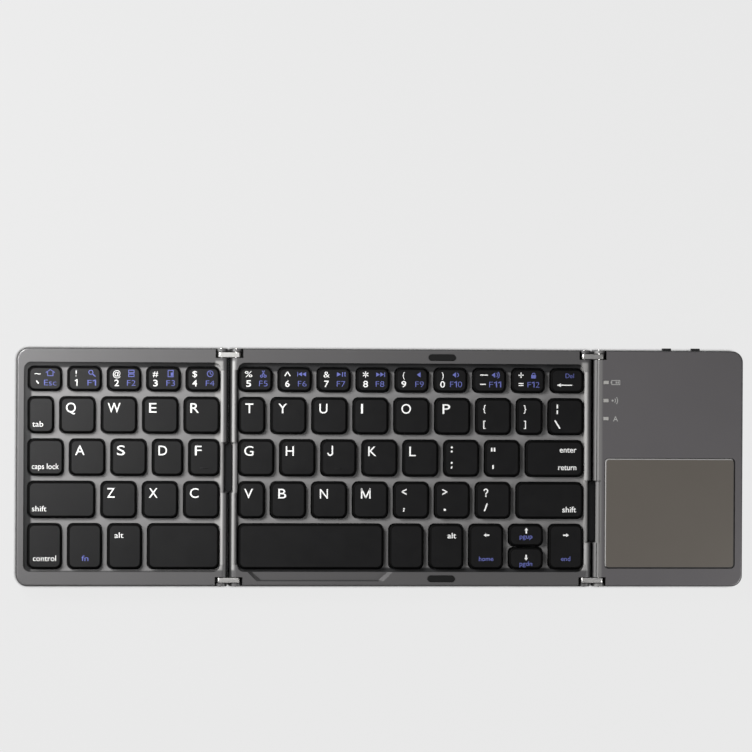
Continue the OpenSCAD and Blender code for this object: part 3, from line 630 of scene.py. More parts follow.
def pour(part: bmesh.types.BMesh, target: bmesh.types.BMesh) -> None:
    """Adds a part's mesh to another one.

    Args:
        part: the part, which is freed.
        target: the mesh that takes it.
    """
    mesh = bpy.data.meshes.new("part")
    part.to_mesh(mesh)
    part.free()
    target.from_mesh(mesh)
    bpy.data.meshes.remove(mesh)


def merged_copy(node: str) -> bmesh.types.BMesh:
    """Copies a CAD node's mesh and joins its loose triangles.

    Args:
        node: the node's name.

    Returns:
        The copy, in millimetres.
    """
    bm = bmesh.new()
    bm.from_mesh(frame["nodes"][node].data)
    bmesh.ops.scale(bm, vec=(1 / MM,) * 3, verts=bm.verts)
    bmesh.ops.remove_doubles(bm, verts=bm.verts, dist=WELD)
    return bm


def solid_boxes(node: str) -> list[Box]:
    """Finds the separate solids of a CAD node.

    Args:
        node: the node's name.

    Returns:
        Their boxes, row by row from the back, each row from left to right.
    """
    bm = merged_copy(node)
    seen: set[int] = set()
    boxes = []
    for start in bm.verts:
        if start.index in seen:
            continue
        seen.add(start.index)
        island, todo = [], [start]
        while todo:
            vert = todo.pop()
            island.append(vert.co.copy())
            for other in (edge.other_vert(vert) for edge in vert.link_edges):
                if other.index not in seen:
                    seen.add(other.index)
                    todo.append(other)
        low = Vector(min(co[i] for co in island) for i in range(3))
        high = Vector(max(co[i] for co in island) for i in range(3))
        boxes.append(Box(low, high))
    bm.free()
    return sorted(boxes, key=lambda box: (-round(box.high.y), box.low.x))


class Piece:
    """A new piece under construction, in millimetres, with one finish for each material."""

    def __init__(self, name: str, body: str, slot: str, finishes: list[Finish]) -> None:
        """Starts an empty piece.

        Args:
            name: the piece's name.
            body: the body that it rides on.
            slot: the record's material slot, kept on the piece but not used.
            finishes: its finishes, in the order of their material numbers.
        """
        self.name = name
        self.body = body
        self.slot = slot
        self.finishes = finishes
        self.bm = bmesh.new()

    def take(self, part: bmesh.types.BMesh, finish: int | None = 0) -> None:
        """Adds a finished part's mesh to the piece.

        Args:
            part: the part, which is freed.
            finish: the number of its finish, or None where its faces have their numbers already.
        """
        for face in part.faces:
            face.material_index = face.material_index if finish is None else finish
        pour(part, self.bm)

    def close(self, replaces: tuple[str, ...] = (), smooth_angle: float = 40.0) -> None:
        """Makes the object, places it on its body and reports it.

        Args:
            replaces: the CAD nodes that it stands for.
            smooth_angle: edges under this many degrees are shaded smooth.
        """
        bmesh.ops.recalc_face_normals(self.bm, faces=self.bm.faces)
        bmesh.ops.scale(self.bm, vec=(MM,) * 3, verts=self.bm.verts)
        mesh = bpy.data.meshes.new(self.name)
        self.bm.to_mesh(mesh)
        self.bm.free()
        mesh.shade_smooth()
        mesh.set_sharp_from_angle(angle=math.radians(smooth_angle))
        for finish in self.finishes:
            mesh.materials.append(finish.build())
        piece = scene_object(self.name, mesh)
        piece.modifiers.new("even_shading", "WEIGHTED_NORMAL").keep_sharp = True
        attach(piece, self.body)
        if replaces:
            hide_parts(*replaces)
        log.info("%s: %d faces on %s", self.name, len(mesh.polygons), self.body)


def rounded_slab(box: Box, corner: float, edge: float, corner_steps: int = 6) -> bmesh.types.BMesh:
    """Builds a slab with round corners, seen from above, and a rounded upper edge.

    Args:
        box: the slab's box.
        corner: radius of its corners.
        edge: radius of its upper edge, or 0.
        corner_steps: segments of a corner.

    Returns:
        The slab.
    """
    bm = bmesh.new()
    bmesh.ops.create_grid(bm, x_segments=1, y_segments=1, size=0.5)
    bmesh.ops.scale(bm, vec=(box.size.x, box.size.y, 1), verts=bm.verts)
    bmesh.ops.bevel(bm, geom=bm.verts[:], offset=corner, segments=corner_steps, profile=0.5,
                    affect="VERTICES", material=-1)
    lift(bm, bm.faces[:], box.size.z)
    if edge > 0:
        rim = [e for e in bm.edges if all(v.co.z > box.size.z / 2 for v in e.verts)]
        bmesh.ops.bevel(bm, geom=rim, offset=edge, segments=3, profile=0.5, affect="EDGES", material=-1)
    move(bm, box.centre.x, box.centre.y, box.low.z)
    return bm


def softened_copy(node: str, radius: float, flat: float = 2.0, sharp: float = 30.0) -> bmesh.types.BMesh:
    """Copies a CAD node and rounds its sharp edges a little.

    Args:
        node: the node's name.
        radius: how far the edges are rounded.
        flat: faces that meet at less than this many degrees are joined.
        sharp: edges over this many degrees are rounded.

    Returns:
        The copy.
    """
    bm = merged_copy(node)
    bmesh.ops.dissolve_limit(bm, angle_limit=math.radians(flat), verts=bm.verts, edges=bm.edges)
    edges = [e for e in bm.edges if e.is_manifold and e.calc_face_angle(0) > math.radians(sharp)]
    bmesh.ops.bevel(bm, geom=edges, offset=radius, segments=2, profile=0.5, affect="EDGES",
                    clamp_overlap=True, material=-1)
    return bm


# ---------------------------------------------------------------- legends


class Tint(Enum):
    """The ink of a legend, by its material number."""

    WHITE = 0
    BLUE = 1


class Align(Enum):
    """Which point of a mark its place gives."""

    LEFT = "left"
    CENTRE = "centre"
    RIGHT = "right"


@dataclass
class FlatShape:
    """Flat figures that a mark is drawn from, round its own middle.

    Attributes:
        stroke: width of its lines.
        bm: the mesh of its faces.
    """

    stroke: float = 0.3
    bm: bmesh.types.BMesh = field(default_factory=bmesh.new)

    def pen(self, width: float) -> "FlatShape":
        """Changes the width of the lines that follow."""
        self.stroke = width
        return self

    def bar(self, start: Point, end: Point, width: float | None = None) -> "FlatShape":
        """Draws a straight bar.

        Args:
            start: middle of one end.
            end: middle of the other end.
            width: its width, or None for the stroke's.

        Returns:
            The shape.
        """
        first, last = Vector((*start, 0)), Vector((*end, 0))
        run = last - first
        place = Matrix.Translation((first + last) / 2)
        turn = Matrix.Rotation(math.atan2(run.y, run.x), 4, "Z")
        stretch = Matrix.Diagonal((run.length, width or self.stroke, 1, 1))
        bmesh.ops.create_grid(self.bm, x_segments=1, y_segments=1, size=0.5, matrix=place @ turn @ stretch)
        return self

    def disc(self, centre: Point, radius: float) -> "FlatShape":
        """Draws a filled circle.

        Args:
            centre: its middle.
            radius: its radius.

        Returns:
            The shape.
        """
        place = Matrix.Translation((*centre, 0))
        bmesh.ops.create_circle(self.bm, cap_ends=True, segments=20, radius=radius, matrix=place)
        return self

    def arc(self, centre: Point, radius: float, start: float = 0.0, turn: float = 360.0) -> "FlatShape":
        """Draws a ring or a part of one.

        Args:
            centre: its middle.
            radius: radius of the middle of its line.
            start: where it starts, in degrees from +X.
            turn: how far it goes, in degrees.

        Returns:
            The shape.
        """
        inner = Vector((radius - self.stroke / 2, 0, 0))
        outer = Vector((radius + self.stroke / 2, 0, 0))
        place = Matrix.Translation((*centre, 0)) @ Matrix.Rotation(math.radians(start), 4, "Z")
        ends = [self.bm.verts.new(place @ inner), self.bm.verts.new(place @ outer)]
        edge = self.bm.edges.new(ends)
        bmesh.ops.spin(self.bm, geom=[edge, *ends], cent=(*centre, 0), axis=(0, 0, 1),
                       angle=math.radians(turn), steps=20, use_merge=turn == 360)
        return self

    def patch(self, *points: Point) -> "FlatShape":
        """Draws a filled outline of a few points."""
        self.bm.faces.new([self.bm.verts.new((*point, 0)) for point in points])
        return self

    def frame(self, low: Point, high: Point) -> "FlatShape":
        """Draws the four sides of a rectangle.

        Args:
            low: its lower left corner.
            high: its upper right corner.

        Returns:
            The shape.
        """
        half = self.stroke / 2
        for y in (low[1], high[1]):
            self.bar((low[0] - half, y), (high[0] + half, y))
        for x in (low[0], high[0]):
            self.bar((x, low[1] + half), (x, high[1] - half))
        return self


def font_faces(words: str, height: float, weight: float) -> bmesh.types.BMesh:
    """Turns words of Blender's own font into flat faces.

    Args:
        words: the letters.
        height: height of a capital.
        weight: how far the outlines are moved outwards, to make them bolder.

    Returns:
        The faces, their left end at x = 0 and their baseline at y = 0.
    """
    capital = 0.729    # height of the font's capitals at size 1
    curve = bpy.data.curves.new("lettering", "FONT")
    curve.body = words
    curve.size = height / capital
    curve.offset = weight
    curve.fill_mode = "FRONT"
    curve.resolution_u = 4
    holder = scene_object("lettering", curve)
    mesh = bpy.data.meshes.new_from_object(holder.evaluated_get(bpy.context.evaluated_depsgraph_get()))
    bm = bmesh.new()
    bm.from_mesh(mesh)
    bpy.data.meshes.remove(mesh)
    bpy.data.objects.remove(holder)
    bpy.data.curves.remove(curve)
    bmesh.ops.remove_doubles(bm, verts=bm.verts, dist=FONT_WELD)
    move(bm, -min(v.co.x for v in bm.verts))
    return bm


def stroke_faces(letter: str, height: float) -> bmesh.types.BMesh | None:
    """Draws the few letters and figures whose own shapes differ from the font's.

    Args:
        letter: the letter.
        height: its height.

    Returns:
        Its faces, placed as font_faces places them, or None where the font's shape does.
    """
    shape = FlatShape(0.135 * height)
    half = shape.stroke / 2
    if letter == "M":
        wide = 0.95 * height
        shape.bar((half, 0), (half, height)).bar((wide - half, 0), (wide - half, height))
        shape.bar((half, height - half), (wide / 2, half)).bar((wide / 2, half), (wide - half, height - half))
    elif letter == "J":
        bend = 0.23 * height
        shape.bar((2 * bend + half, height), (2 * bend + half, bend + half))
        shape.arc((bend + half, bend + half), bend, 180, 180)
    elif letter == "1":
        stem = 0.3 * height
        shape.bar((stem, 0), (stem, height)).bar((0, 0.74 * height), (stem, 0.93 * height))
    else:
        shape.bm.free()
        return None
    return shape.bm


def lettering(words: str, height: float, weight: float, width: float | None = None) -> FlatShape:
    """Turns words into flat faces whose capitals have a given height.

    Args:
        words: the letters.
        height: height of a capital.
        weight: how far the outlines are moved outwards, to make them bolder.
        width: the width that the words are fitted to, or None.

    Returns:
        The shape, its left end at x = 0 and its baseline at y = 0.
    """
    shape = FlatShape()
    start, gap = 0.0, 0.14 * height
    for run in ([words] if not set("MJ1") & set(words) else list(words)):
        bm = stroke_faces(run, height) or font_faces(run, height, weight)
        move(bm, start)
        start = max(v.co.x for v in bm.verts) + gap
        pour(bm, shape.bm)
    if width:
        span = max(v.co.x for v in shape.bm.verts)
        bmesh.ops.scale(shape.bm, vec=(width / span, 1, 1), verts=shape.bm.verts)
    return shape


def spoke(turn: float, reach: float = 1.3, width: float = 0.38) -> tuple:
    """Gives the step that draws a bar through the middle.

    Args:
        turn: its direction, in degrees.
        reach: half its length.
        width: its width.

    Returns:
        The step, as Pictogram holds it.
    """
    end = (reach * math.cos(math.radians(turn)), reach * math.sin(math.radians(turn)))
    return "bar", (-end[0], -end[1]), end, width


class Pictogram(Enum):
    """Plain signs round their own middle, most about 2.6 mm across.

    A sign is a row of steps, and a step is the name of a FlatShape method and what it is given.
    """

    HOUSE = (
        ("bar", (-1.8, 0.2), (0.1, 1.5)), ("bar", (-0.1, 1.5), (1.8, 0.2)),
        ("bar", (-1.1, 0.5), (-1.1, -1.2)), ("bar", (1.1, 0.5), (1.1, -1.2)),
        ("bar", (-1.1, -1.1), (1.1, -1.1)),
    )
    LENS = (("arc", (-0.4, 0.4), 0.85), ("bar", (0.2, -0.2), (1.5, -1.4), 0.45))
    PAGES = (("frame", (-1.1, 0.2), (1.1, 1.3)), ("frame", (-1.1, -1.3), (1.1, -0.3)))
    PAGE = (("frame", (-1.1, -1.3), (1.0, 1.3)), ("patch", (0, -0.9), (1, -0.9), (1, 0.4), (0, 0.4)))
    DIAL = (("arc", (0, 0), 1.2), ("bar", (0, 0), (0, 0.8)), ("bar", (0, 0), (0.6, -0.4)))
    SNIP = (
        ("bar", (-0.5, -0.5), (0.45, 1.4)), ("bar", (0.5, -0.5), (-0.45, 1.4)),
        ("arc", (-0.7, -0.9), 0.45), ("arc", (0.7, -0.9), 0.45),
    )
    BACK = (
        ("bar", (-1.9, -0.9), (-1.9, 0.9)), ("patch", (-1.6, 0), (-0.1, -0.9), (-0.1, 0.9)),
        ("patch", (0, 0), (1.6, -0.9), (1.6, 0.9)),
    )
    FORWARD = (
        ("bar", (1.9, -0.9), (1.9, 0.9)), ("patch", (1.6, 0), (0.1, 0.9), (0.1, -0.9)),
        ("patch", (0, 0), (-1.6, 0.9), (-1.6, -0.9)),
    )
    PLAY = (
        ("patch", (0, 0), (-1.7, 0.9), (-1.7, -0.9)), ("bar", (0.6, -0.9), (0.6, 0.9), 0.4),
        ("bar", (1.6, -0.9), (1.6, 0.9), 0.4),
    )
    QUIET = (("patch", (-1.1, 0), (0.4, -1.1), (0.4, 1.1)),)
    SOFT = (("patch", (-1.5, 0), (0, -1.1), (0, 1.1)), ("arc", (0.1, 0), 0.9, -60, 120))
    LOUD = (*SOFT, ("arc", (0.1, 0), 1.6, -55, 110))
    LOCK = (("patch", (-1, -1.3), (1, -1.3), (1, 0.1), (-1, 0.1)), ("arc", (0, 0.2), 0.65, 0, 180))
    ARROW = (("bar", (-1.2, 0), (0.2, 0), 0.6), ("patch", (1.2, 0), (0.1, 0.75), (0.1, -0.75)))
    LONG_ARROW = (("bar", (-1.6, 0), (3.2, 0), 0.4), ("patch", (-3.2, 0), (-1.5, -0.75), (-1.5, 0.75)))
    DASH = (("bar", (-1.3, 0), (2.0, 0), 0.4),)
    HYPHEN = (("bar", (-1.3, 0), (1.1, 0), 0.4),)
    EQUALS = (("bar", (-1.0, -0.4), (1.0, -0.4), 0.4), ("bar", (-1.0, 0.45), (1.0, 0.45), 0.4))
    PLUS = (("bar", (-1.1, 0), (1.1, 0), 0.4), ("bar", (0, -1.1), (0, 1.1), 0.4))
    TICK = (("bar", (-0.5, 0.7), (0.4, -0.5), 0.45),)
    STAR = (spoke(30), spoke(90), spoke(150))
    CARET = (("bar", (-1.1, -0.8), (0.08, 1.1), 0.42), ("bar", (-0.08, 1.1), (1.1, -0.8), 0.42))
    SPLIT_BAR = (("bar", (0, 0.3), (0, 1.9), 0.6), ("bar", (0, -0.5), (0, -2.1), 0.6))
    BACK_SLASH = (("bar", (-1.0, 1.5), (1.1, -1.9), 0.6),)
    SLASH = (("bar", (0.6, 1.6), (-0.6, -1.6), 0.55),)
    QUESTION = (
        ("pen", 0.48), ("arc", (0, 0.7), 0.78, -45, 220), ("bar", (0.58, 0.2), (-0.05, -0.45)),
        ("bar", (0, -0.3), (0, -0.8)), ("disc", (0, -1.4), 0.34),
    )
    QUOTES = (("bar", (-0.6, -0.8), (-0.6, 0.8), 0.65), ("bar", (0.6, -0.8), (0.6, 0.8), 0.65))
    QUOTE = (("bar", (0, -0.8), (0, 0.8), 0.65),)
    LESS = (("bar", (1.1, 1.0), (-1.1, -0.06), 0.45), ("bar", (-1.1, 0.06), (1.1, -1.0), 0.45))
    MORE = (("bar", (-1.1, 1.0), (1.1, -0.06), 0.45), ("bar", (1.1, 0.06), (-1.1, -1.0), 0.45))
    COMMA = (("disc", (0.05, 0.4), 0.42), ("bar", (0.2, 0.4), (-0.2, -0.7), 0.5))
    DOT = (("disc", (0, 0), 0.5),)
    COLON = (("disc", (0, 0.85), 0.42), ("disc", (0, -0.85), 0.42))
    SEMICOLON = (("disc", (0, 0.85), 0.42), ("bar", (0.15, -0.6), (-0.25, -1.5), 0.55))

    def draw(self) -> FlatShape:
        """Draws the sign.

        Returns:
            Its shape.
        """
        shape = FlatShape()
        for method, *given in self.value:
            getattr(shape, method)(*given)
        return shape


@dataclass(frozen=True)
class Mark:
    """One legend on a key.

    Attributes:
        what: its letters or its sign.
        across: its distance from the key's left edge, or from the right edge where it is right aligned.
        down: distance of its middle below the key's back edge.
        height: height of a capital.
        tint: its ink.
        align: which point of the mark is at across.
        turn: how far it is turned, in degrees.
        width: the width that it is fitted to, or None.
        bold: what its letters have over the common boldness, as a share of their height.
    """

    what: str | Pictogram
    across: float
    down: float
    height: float = 2.25
    tint: Tint = Tint.WHITE
    align: Align = Align.CENTRE
    turn: float = 0.0
    width: float | None = None
    bold: float = 0.0

    def draw(self, key: Box, weight: float) -> bmesh.types.BMesh:
        """Draws the mark flat on a key's top face.

        Args:
            key: the key's box.
            weight: boldness of its letters, as a share of their height.

        Returns:
            Its faces.
        """
        if isinstance(self.what, Pictogram):
            bm = self.what.draw().bm
            bmesh.ops.rotate(bm, cent=(0, 0, 0), verts=bm.verts,
                             matrix=Matrix.Rotation(math.radians(self.turn), 3, "Z"))
        else:
            bm = lettering(self.what, self.height, (weight + self.bold) * self.height, self.width).bm
            xs = [v.co.x for v in bm.verts]
            shift = {Align.LEFT: -min(xs), Align.CENTRE: -(min(xs) + max(xs)) / 2, Align.RIGHT: -max(xs)}
            move(bm, shift[self.align], -self.height / 2)
        x = key.high.x - self.across if self.align == Align.RIGHT else key.low.x + self.across
        move(bm, x, key.high.y - self.down, key.high.z)
        return bm


# Width of each letter, as a share of its height.
LETTER_WIDTHS = {
    "A": 0.9, "B": 0.79, "C": 0.86, "D": 0.84, "E": 0.74, "F": 0.66, "G": 0.91, "H": 0.79, "I": 0.2,
    "J": 0.58, "K": 0.8, "L": 0.63, "M": 0.96, "N": 0.79, "O": 0.95, "P": 0.76, "Q": 0.96, "R": 0.85,
    "S": 0.78, "T": 0.78, "U": 0.79, "V": 0.86, "W": 1.24, "X": 0.86, "Y": 0.84, "Z": 0.75,
}
# Distance of each letter from the left edge of its key.
LETTER_INSETS = {
    "Q": 2.4, "W": 2.5, "E": 2.45, "R": 2.4, "A": 2.25, "S": 2.3, "D": 2.35, "F": 2.35, "Z": 2.35,
    "X": 2.5, "C": 2.4, "T": 2.55, "Y": 2.95, "U": 2.9, "I": 3.1, "O": 2.85, "P": 2.95, "G": 2.15,
    "H": 2.3, "J": 2.4, "K": 2.4, "L": 2.45, "V": 2.2, "B": 3.05, "N": 3.25, "M": 3.25,
}
# Distance of the letters' middles from the back edges of their keys.
LETTER_DOWNS = {"QWERTYUIOP": 4.22, "ASDF": 4.35, "GHJKL": 4.42, "ZXC": 4.45, "VBNM": 4.62}
# Widths of the figures and signs that are fitted to one.
SIGN_WIDTHS = {
    "~": 2.5, "@": 3.1, "#": 2.3, "$": 1.9, "%": 3.1, "&": 2.5, "2": 1.9, "3": 1.9, "4": 1.95, "5": 2.1,
    "6": 1.9, "7": 1.95, "8": 2.0, "9": 2.0, "0": 2.0,
}


@dataclass
class Legends:
    """The legends of all keys, as lists of marks for each key of a node.

    Attributes:
        letter_height: height of the letters.
        sign_across: place of the white column on a number key.
        layer_across: place of the blue column on a number key.
        upper_down: place of the upper row of marks on a number key.
        lower_down: place of the lower row of marks on a number key.
        word_down: place of a word near the front edge of a letter key's row.
        low_word_down: place of a word near the front edge of the low row.
        word_height: height of a capital of the words.
        low_layer_height: height of a capital of the arrow keys' blue words.
        arrow_across: place of an arrow on its key.
        low_layer_across: place of a blue word on its arrow key.
    """

    letter_height: float = 4.2
    sign_across: float = 3.7
    layer_across: float = 9.7
    upper_down: float = 2.7
    lower_down: float = 6.55
    word_down: float = 11.05
    low_word_down: float = 14.05
    word_height: float = 2.4
    low_layer_height: float = 1.95
    arrow_across: float = 7.1
    low_layer_across: float = 7.0

    def letter(self, name: str) -> list[Mark]:
        """A single big letter.

        Args:
            name: the letter.

        Returns:
            Its mark.
        """
        down = next(down for row, down in LETTER_DOWNS.items() if name in row)
        width = LETTER_WIDTHS[name] * self.letter_height
        inset = LETTER_INSETS[name]
        return [Mark(name, inset, down, self.letter_height, align=Align.LEFT, width=width)]

    def number(self, upper: str | Pictogram, lower: str | Pictogram, sign: Pictogram, layer: str,
               back: float = 0.0, aside: float = 0.0) -> list[Mark]:
        """A key of the number row.

        Args:
            upper: the shifted sign.
            lower: the digit.
            sign: the pictogram of the second layer.
            layer: the name of its function key.
            back: how far the second layer stands to the left of its usual place.
            aside: how far the first layer stands to the right of its usual place.

        Returns:
            Its four marks.
        """
        across, first = self.layer_across - back, self.sign_across + aside
        name_width = 3.5 if len(layer) < 3 else 5.0
        return [
            Mark(upper, first, self.upper_down, 2.6, width=SIGN_WIDTHS.get(upper), bold=-0.006),
            Mark(lower, first, self.lower_down, 2.75, width=SIGN_WIDTHS.get(lower), bold=0.01),
            Mark(sign, across, self.upper_down, tint=Tint.BLUE),
            Mark(layer, across, self.lower_down, 2.5, Tint.BLUE, width=name_width, bold=-0.022),
        ]

    def pair(self, signs: tuple[str | Pictogram, ...], across: float, downs: Point) -> list[Mark]:
        """A key with two signs.

        Args:
            signs: the upper and the lower sign.
            across: place of their middle.
            downs: places of the middles of two capitals of their size.

        Returns:
            Its two marks.
        """
        return [Mark(sign, across, down, 2.7, bold=0.01) for sign, down in zip(signs, downs)]

    def word(self, name: str, down: float, across: float, width: float, align: Align = Align.LEFT) -> Mark:
        """A small word of a modifier key."""
        bold = -0.006 if align == Align.LEFT else 0.01
        return Mark(name, across, down, self.word_height, align=align, width=width, bold=bold)

    def low_layer(self, name: str, down: float, width: float) -> Mark:
        """A small blue word in the middle of an arrow key."""
        across, height = self.low_layer_across, self.low_layer_height
        return Mark(name, across, down, height, Tint.BLUE, width=width, bold=0.004)

    def arrow(self, turn: float, down: float) -> Mark:
        """An arrow in the middle of its key."""
        return Mark(Pictogram.ARROW, self.arrow_across, down, turn=turn)

    def numbers_left(self) -> list[list[Mark]]:
        """The first five keys of the number row.

        Returns:
            The marks of each key.
        """
        return [
            self.number("~", Pictogram.TICK, Pictogram.HOUSE, "Esc", 0.8),
            self.number("!", "1", Pictogram.LENS, "F1", 0.0, -0.45),
            self.number("@", "2", Pictogram.PAGES, "F2"),
            self.number("#", "3", Pictogram.PAGE, "F3", 0.0, -0.3),
            self.number("$", "4", Pictogram.DIAL, "F4", 0.0, -0.35),
        ]

    def numbers_middle(self) -> list[list[Mark]]:
        """The other keys of the number row, with the backspace key last.

        Returns:
            The marks of each key.
        """
        return [
            self.number("%", "5", Pictogram.SNIP, "F5", -0.2, 0.1),
            self.number(Pictogram.CARET, "6", Pictogram.BACK, "F6", -0.1),
            self.number("&", "7", Pictogram.PLAY, "F7"),
            self.number(Pictogram.STAR, "8", Pictogram.FORWARD, "F8"),
            self.number("(", "9", Pictogram.QUIET, "F9", -0.25, -0.3),
            self.number(")", "0", Pictogram.SOFT, "F10", 0.75, -0.35),
            self.number(Pictogram.DASH, Pictogram.HYPHEN, Pictogram.LOUD, "F11", 0.6, 0.4),
            self.number(Pictogram.PLUS, Pictogram.EQUALS, Pictogram.LOCK, "F12", 0.75),
            [Mark("Del", 7.9, self.upper_down + 0.1, 2.0, Tint.BLUE, width=3.5, bold=-0.015),
             Mark(Pictogram.LONG_ARROW, 5.7, self.lower_down + 0.2)],
        ]

    def modifiers_left(self) -> list[list[Mark]]:
        """Tab, caps lock, shift, control, function and alternate keys.

        Returns:
            The marks of each key.
        """
        return [
            [self.word("tab", self.word_down, 1.6, 4.5)],
            [self.word("caps lock", self.word_down, 1.5, 11.1)],
            [self.word("shift", self.word_down, 1.6, 6.0)],
            [self.word("control", self.low_word_down, 2.1, 9.5)],
            [Mark("fn", 7.0, self.low_word_down, 2.3, Tint.BLUE, width=2.8)],
            [Mark("alt", 4.5, 4.5, self.word_height, width=3.7)],
        ]

    def punctuation(self) -> list[list[Mark]]:
        """The eight keys with two signs, in the order of their boxes.

        Returns:
            The marks of each key.
        """
        return [
            self.pair(("{", "["), 3.4, (4.0, 10.3)), self.pair(("}", "]"), 3.3, (4.0, 10.3)),
            self.pair((Pictogram.SPLIT_BAR, Pictogram.BACK_SLASH), 3.6, (4.2, 10.4)),
            self.pair((Pictogram.COLON, Pictogram.SEMICOLON), 3.1, (3.7, 10.1)),
            self.pair((Pictogram.QUOTES, Pictogram.QUOTE), 3.3, (3.7, 10.9)),
            self.pair((Pictogram.LESS, Pictogram.COMMA), 4.1, (3.9, 11.4)),
            self.pair((Pictogram.MORE, Pictogram.DOT), 4.1, (3.9, 11.3)),
            self.pair((Pictogram.QUESTION, Pictogram.SLASH), 4.15, (4.2, 10.3)),
        ]

    def modifiers_right(self) -> list[list[Mark]]:
        """Enter, shift, a bare key, alternate and the arrows, in the order of their boxes.

        Returns:
            The marks of each key.
        """
        right = Align.RIGHT
        return [
            [self.word("enter", 3.6, 2.7, 7.0, right), self.word("return", 10.9, 2.7, 7.6, right)],
            [self.word("shift", self.word_down, 2.7, 5.8, right)],
            [],
            [self.word("alt", 4.5, 2.9, 3.6, right)],
            [self.arrow(180, 4.4), self.low_layer("home", 14.1, 6.0)],
            [self.arrow(90, 2.5), self.low_layer("pgup", 4.8, 5.3)],
            [self.arrow(0, 4.4), self.low_layer("end", 14.1, 3.9)],
            [self.arrow(-90, 4.2), self.low_layer("pgdn", 6.6, 5.3)],
        ]


# ---------------------------------------------------------------- sub-assemblies


@dataclass
class Keyboard:
    """The keycaps, with their legends.

    Attributes:
        corner: corner radius of a cap.
        edge: radius of a cap's upper edge.
        wall: wall of a hollow cap.
        hollow: depth of the hollow.
        bar_inset: distance of a home key's bar from the key's front edge.
        bar_size: length and width of the bar.
        bar_corner: corner radius of the bar.
        bar_edge: radius of the bar's upper edge.
        bar_depth: how far the bar reaches into the cap.
        bar_height: how far the bar stands up.
        ink_height: thickness of the printed legends.
        weight: boldness of the legends, as a share of their height.
        legends: what is printed on the keys.
    """

    corner: float = 2.6
    edge: float = 0.8
    wall: float = 1.1
    hollow: float = 1.3
    bar_inset: float = 3.0
    bar_size: Point = (3.0, 0.44)
    bar_corner: float = 0.2
    bar_edge: float = 0.08
    bar_depth: float = 0.1
    bar_height: float = 0.12
    ink_height: float = 0.02
    weight: float = 0.0025
    legends: Legends = field(default_factory=Legends)

    def cap(self, box: Box) -> bmesh.types.BMesh:
        """Builds one hollow cap.

        Args:
            box: the cap's box.

        Returns:
            Its mesh.
        """
        bm = rounded_slab(box, self.corner, self.edge)
        under = min(bm.faces, key=lambda face: face.calc_center_median().z)
        bmesh.ops.inset_region(bm, faces=[under], thickness=self.wall, use_even_offset=True)
        lift(bm, [under], self.hollow, keep=False)
        bm.normal_update()
        for face in bm.faces:
            # faces other than the top take the painted shade of the sides
            face.material_index = 0 if face.normal.z > LEVEL_NORMAL else 1
        return bm

    def home_bar(self, box: Box) -> bmesh.types.BMesh:
        """Builds the small raised bar of a key where a forefinger rests.

        Args:
            box: the key's box.

        Returns:
            The bar's mesh.
        """
        middle = Vector((box.centre.x, box.low.y + self.bar_inset, box.high.z))
        length, width = self.bar_size
        low = middle - Vector((length / 2, width / 2, self.bar_depth))
        high = middle + Vector((length / 2, width / 2, self.bar_height))
        return rounded_slab(Box(low, high), self.bar_corner, self.bar_edge)

    def ink(self, marks: list[Mark], box: Box, piece: Piece) -> None:
        """Prints a key's marks.

        Args:
            marks: the marks.
            box: the key's box.
            piece: the piece that takes them.
        """
        for mark in marks:
            bm = mark.draw(box, self.weight)
            lift(bm, bm.faces[:], self.ink_height)
            piece.take(bm, mark.tint.value)

    def node(self, node: str, body: str, marks: list[list[Mark]]) -> None:
        """Builds all caps of one CAD node and their legends.

        Args:
            node: the node's name.
            body: the body that the caps ride on.
            marks: the marks of each cap, in the order of solid_boxes.
        """
        caps = Piece("caps_of_" + node, body, "keycap", [KEY_PLASTIC, KEY_SIDE_SHADE])
        boxes = solid_boxes(node)
        for box in boxes:
            caps.take(self.cap(box), None)
        if node in ("key_f", "key_j"):
            caps.take(self.home_bar(boxes[0]))
        caps.close(replaces=(node,))
        if any(marks):
            ink = Piece("legends_of_" + node, body, "keycap", [WHITE_INK, BLUE_INK])
            for box, own in zip(boxes, marks):
                self.ink(own, box, ink)
            ink.close()

    def build(self) -> None:
        """Builds every key node."""
        for letter in "qwertyuiopasdfghjklzxcvbnm":
            self.node("key_" + letter, "key_" + letter, [self.legends.letter(letter.upper())])
        for node, marks in (
            ("space_bar_left", [[]]),
            ("space_bar_right", [[]]),
            ("number_keys_left", self.legends.numbers_left()),
            ("number_keys_middle", self.legends.numbers_middle()),
            ("modifier_keys_left", self.legends.modifiers_left()),
            ("punctuation_keys", self.legends.punctuation()),
            ("modifier_and_arrow_keys", self.legends.modifiers_right()),
        ):
            self.node(node, node, marks)


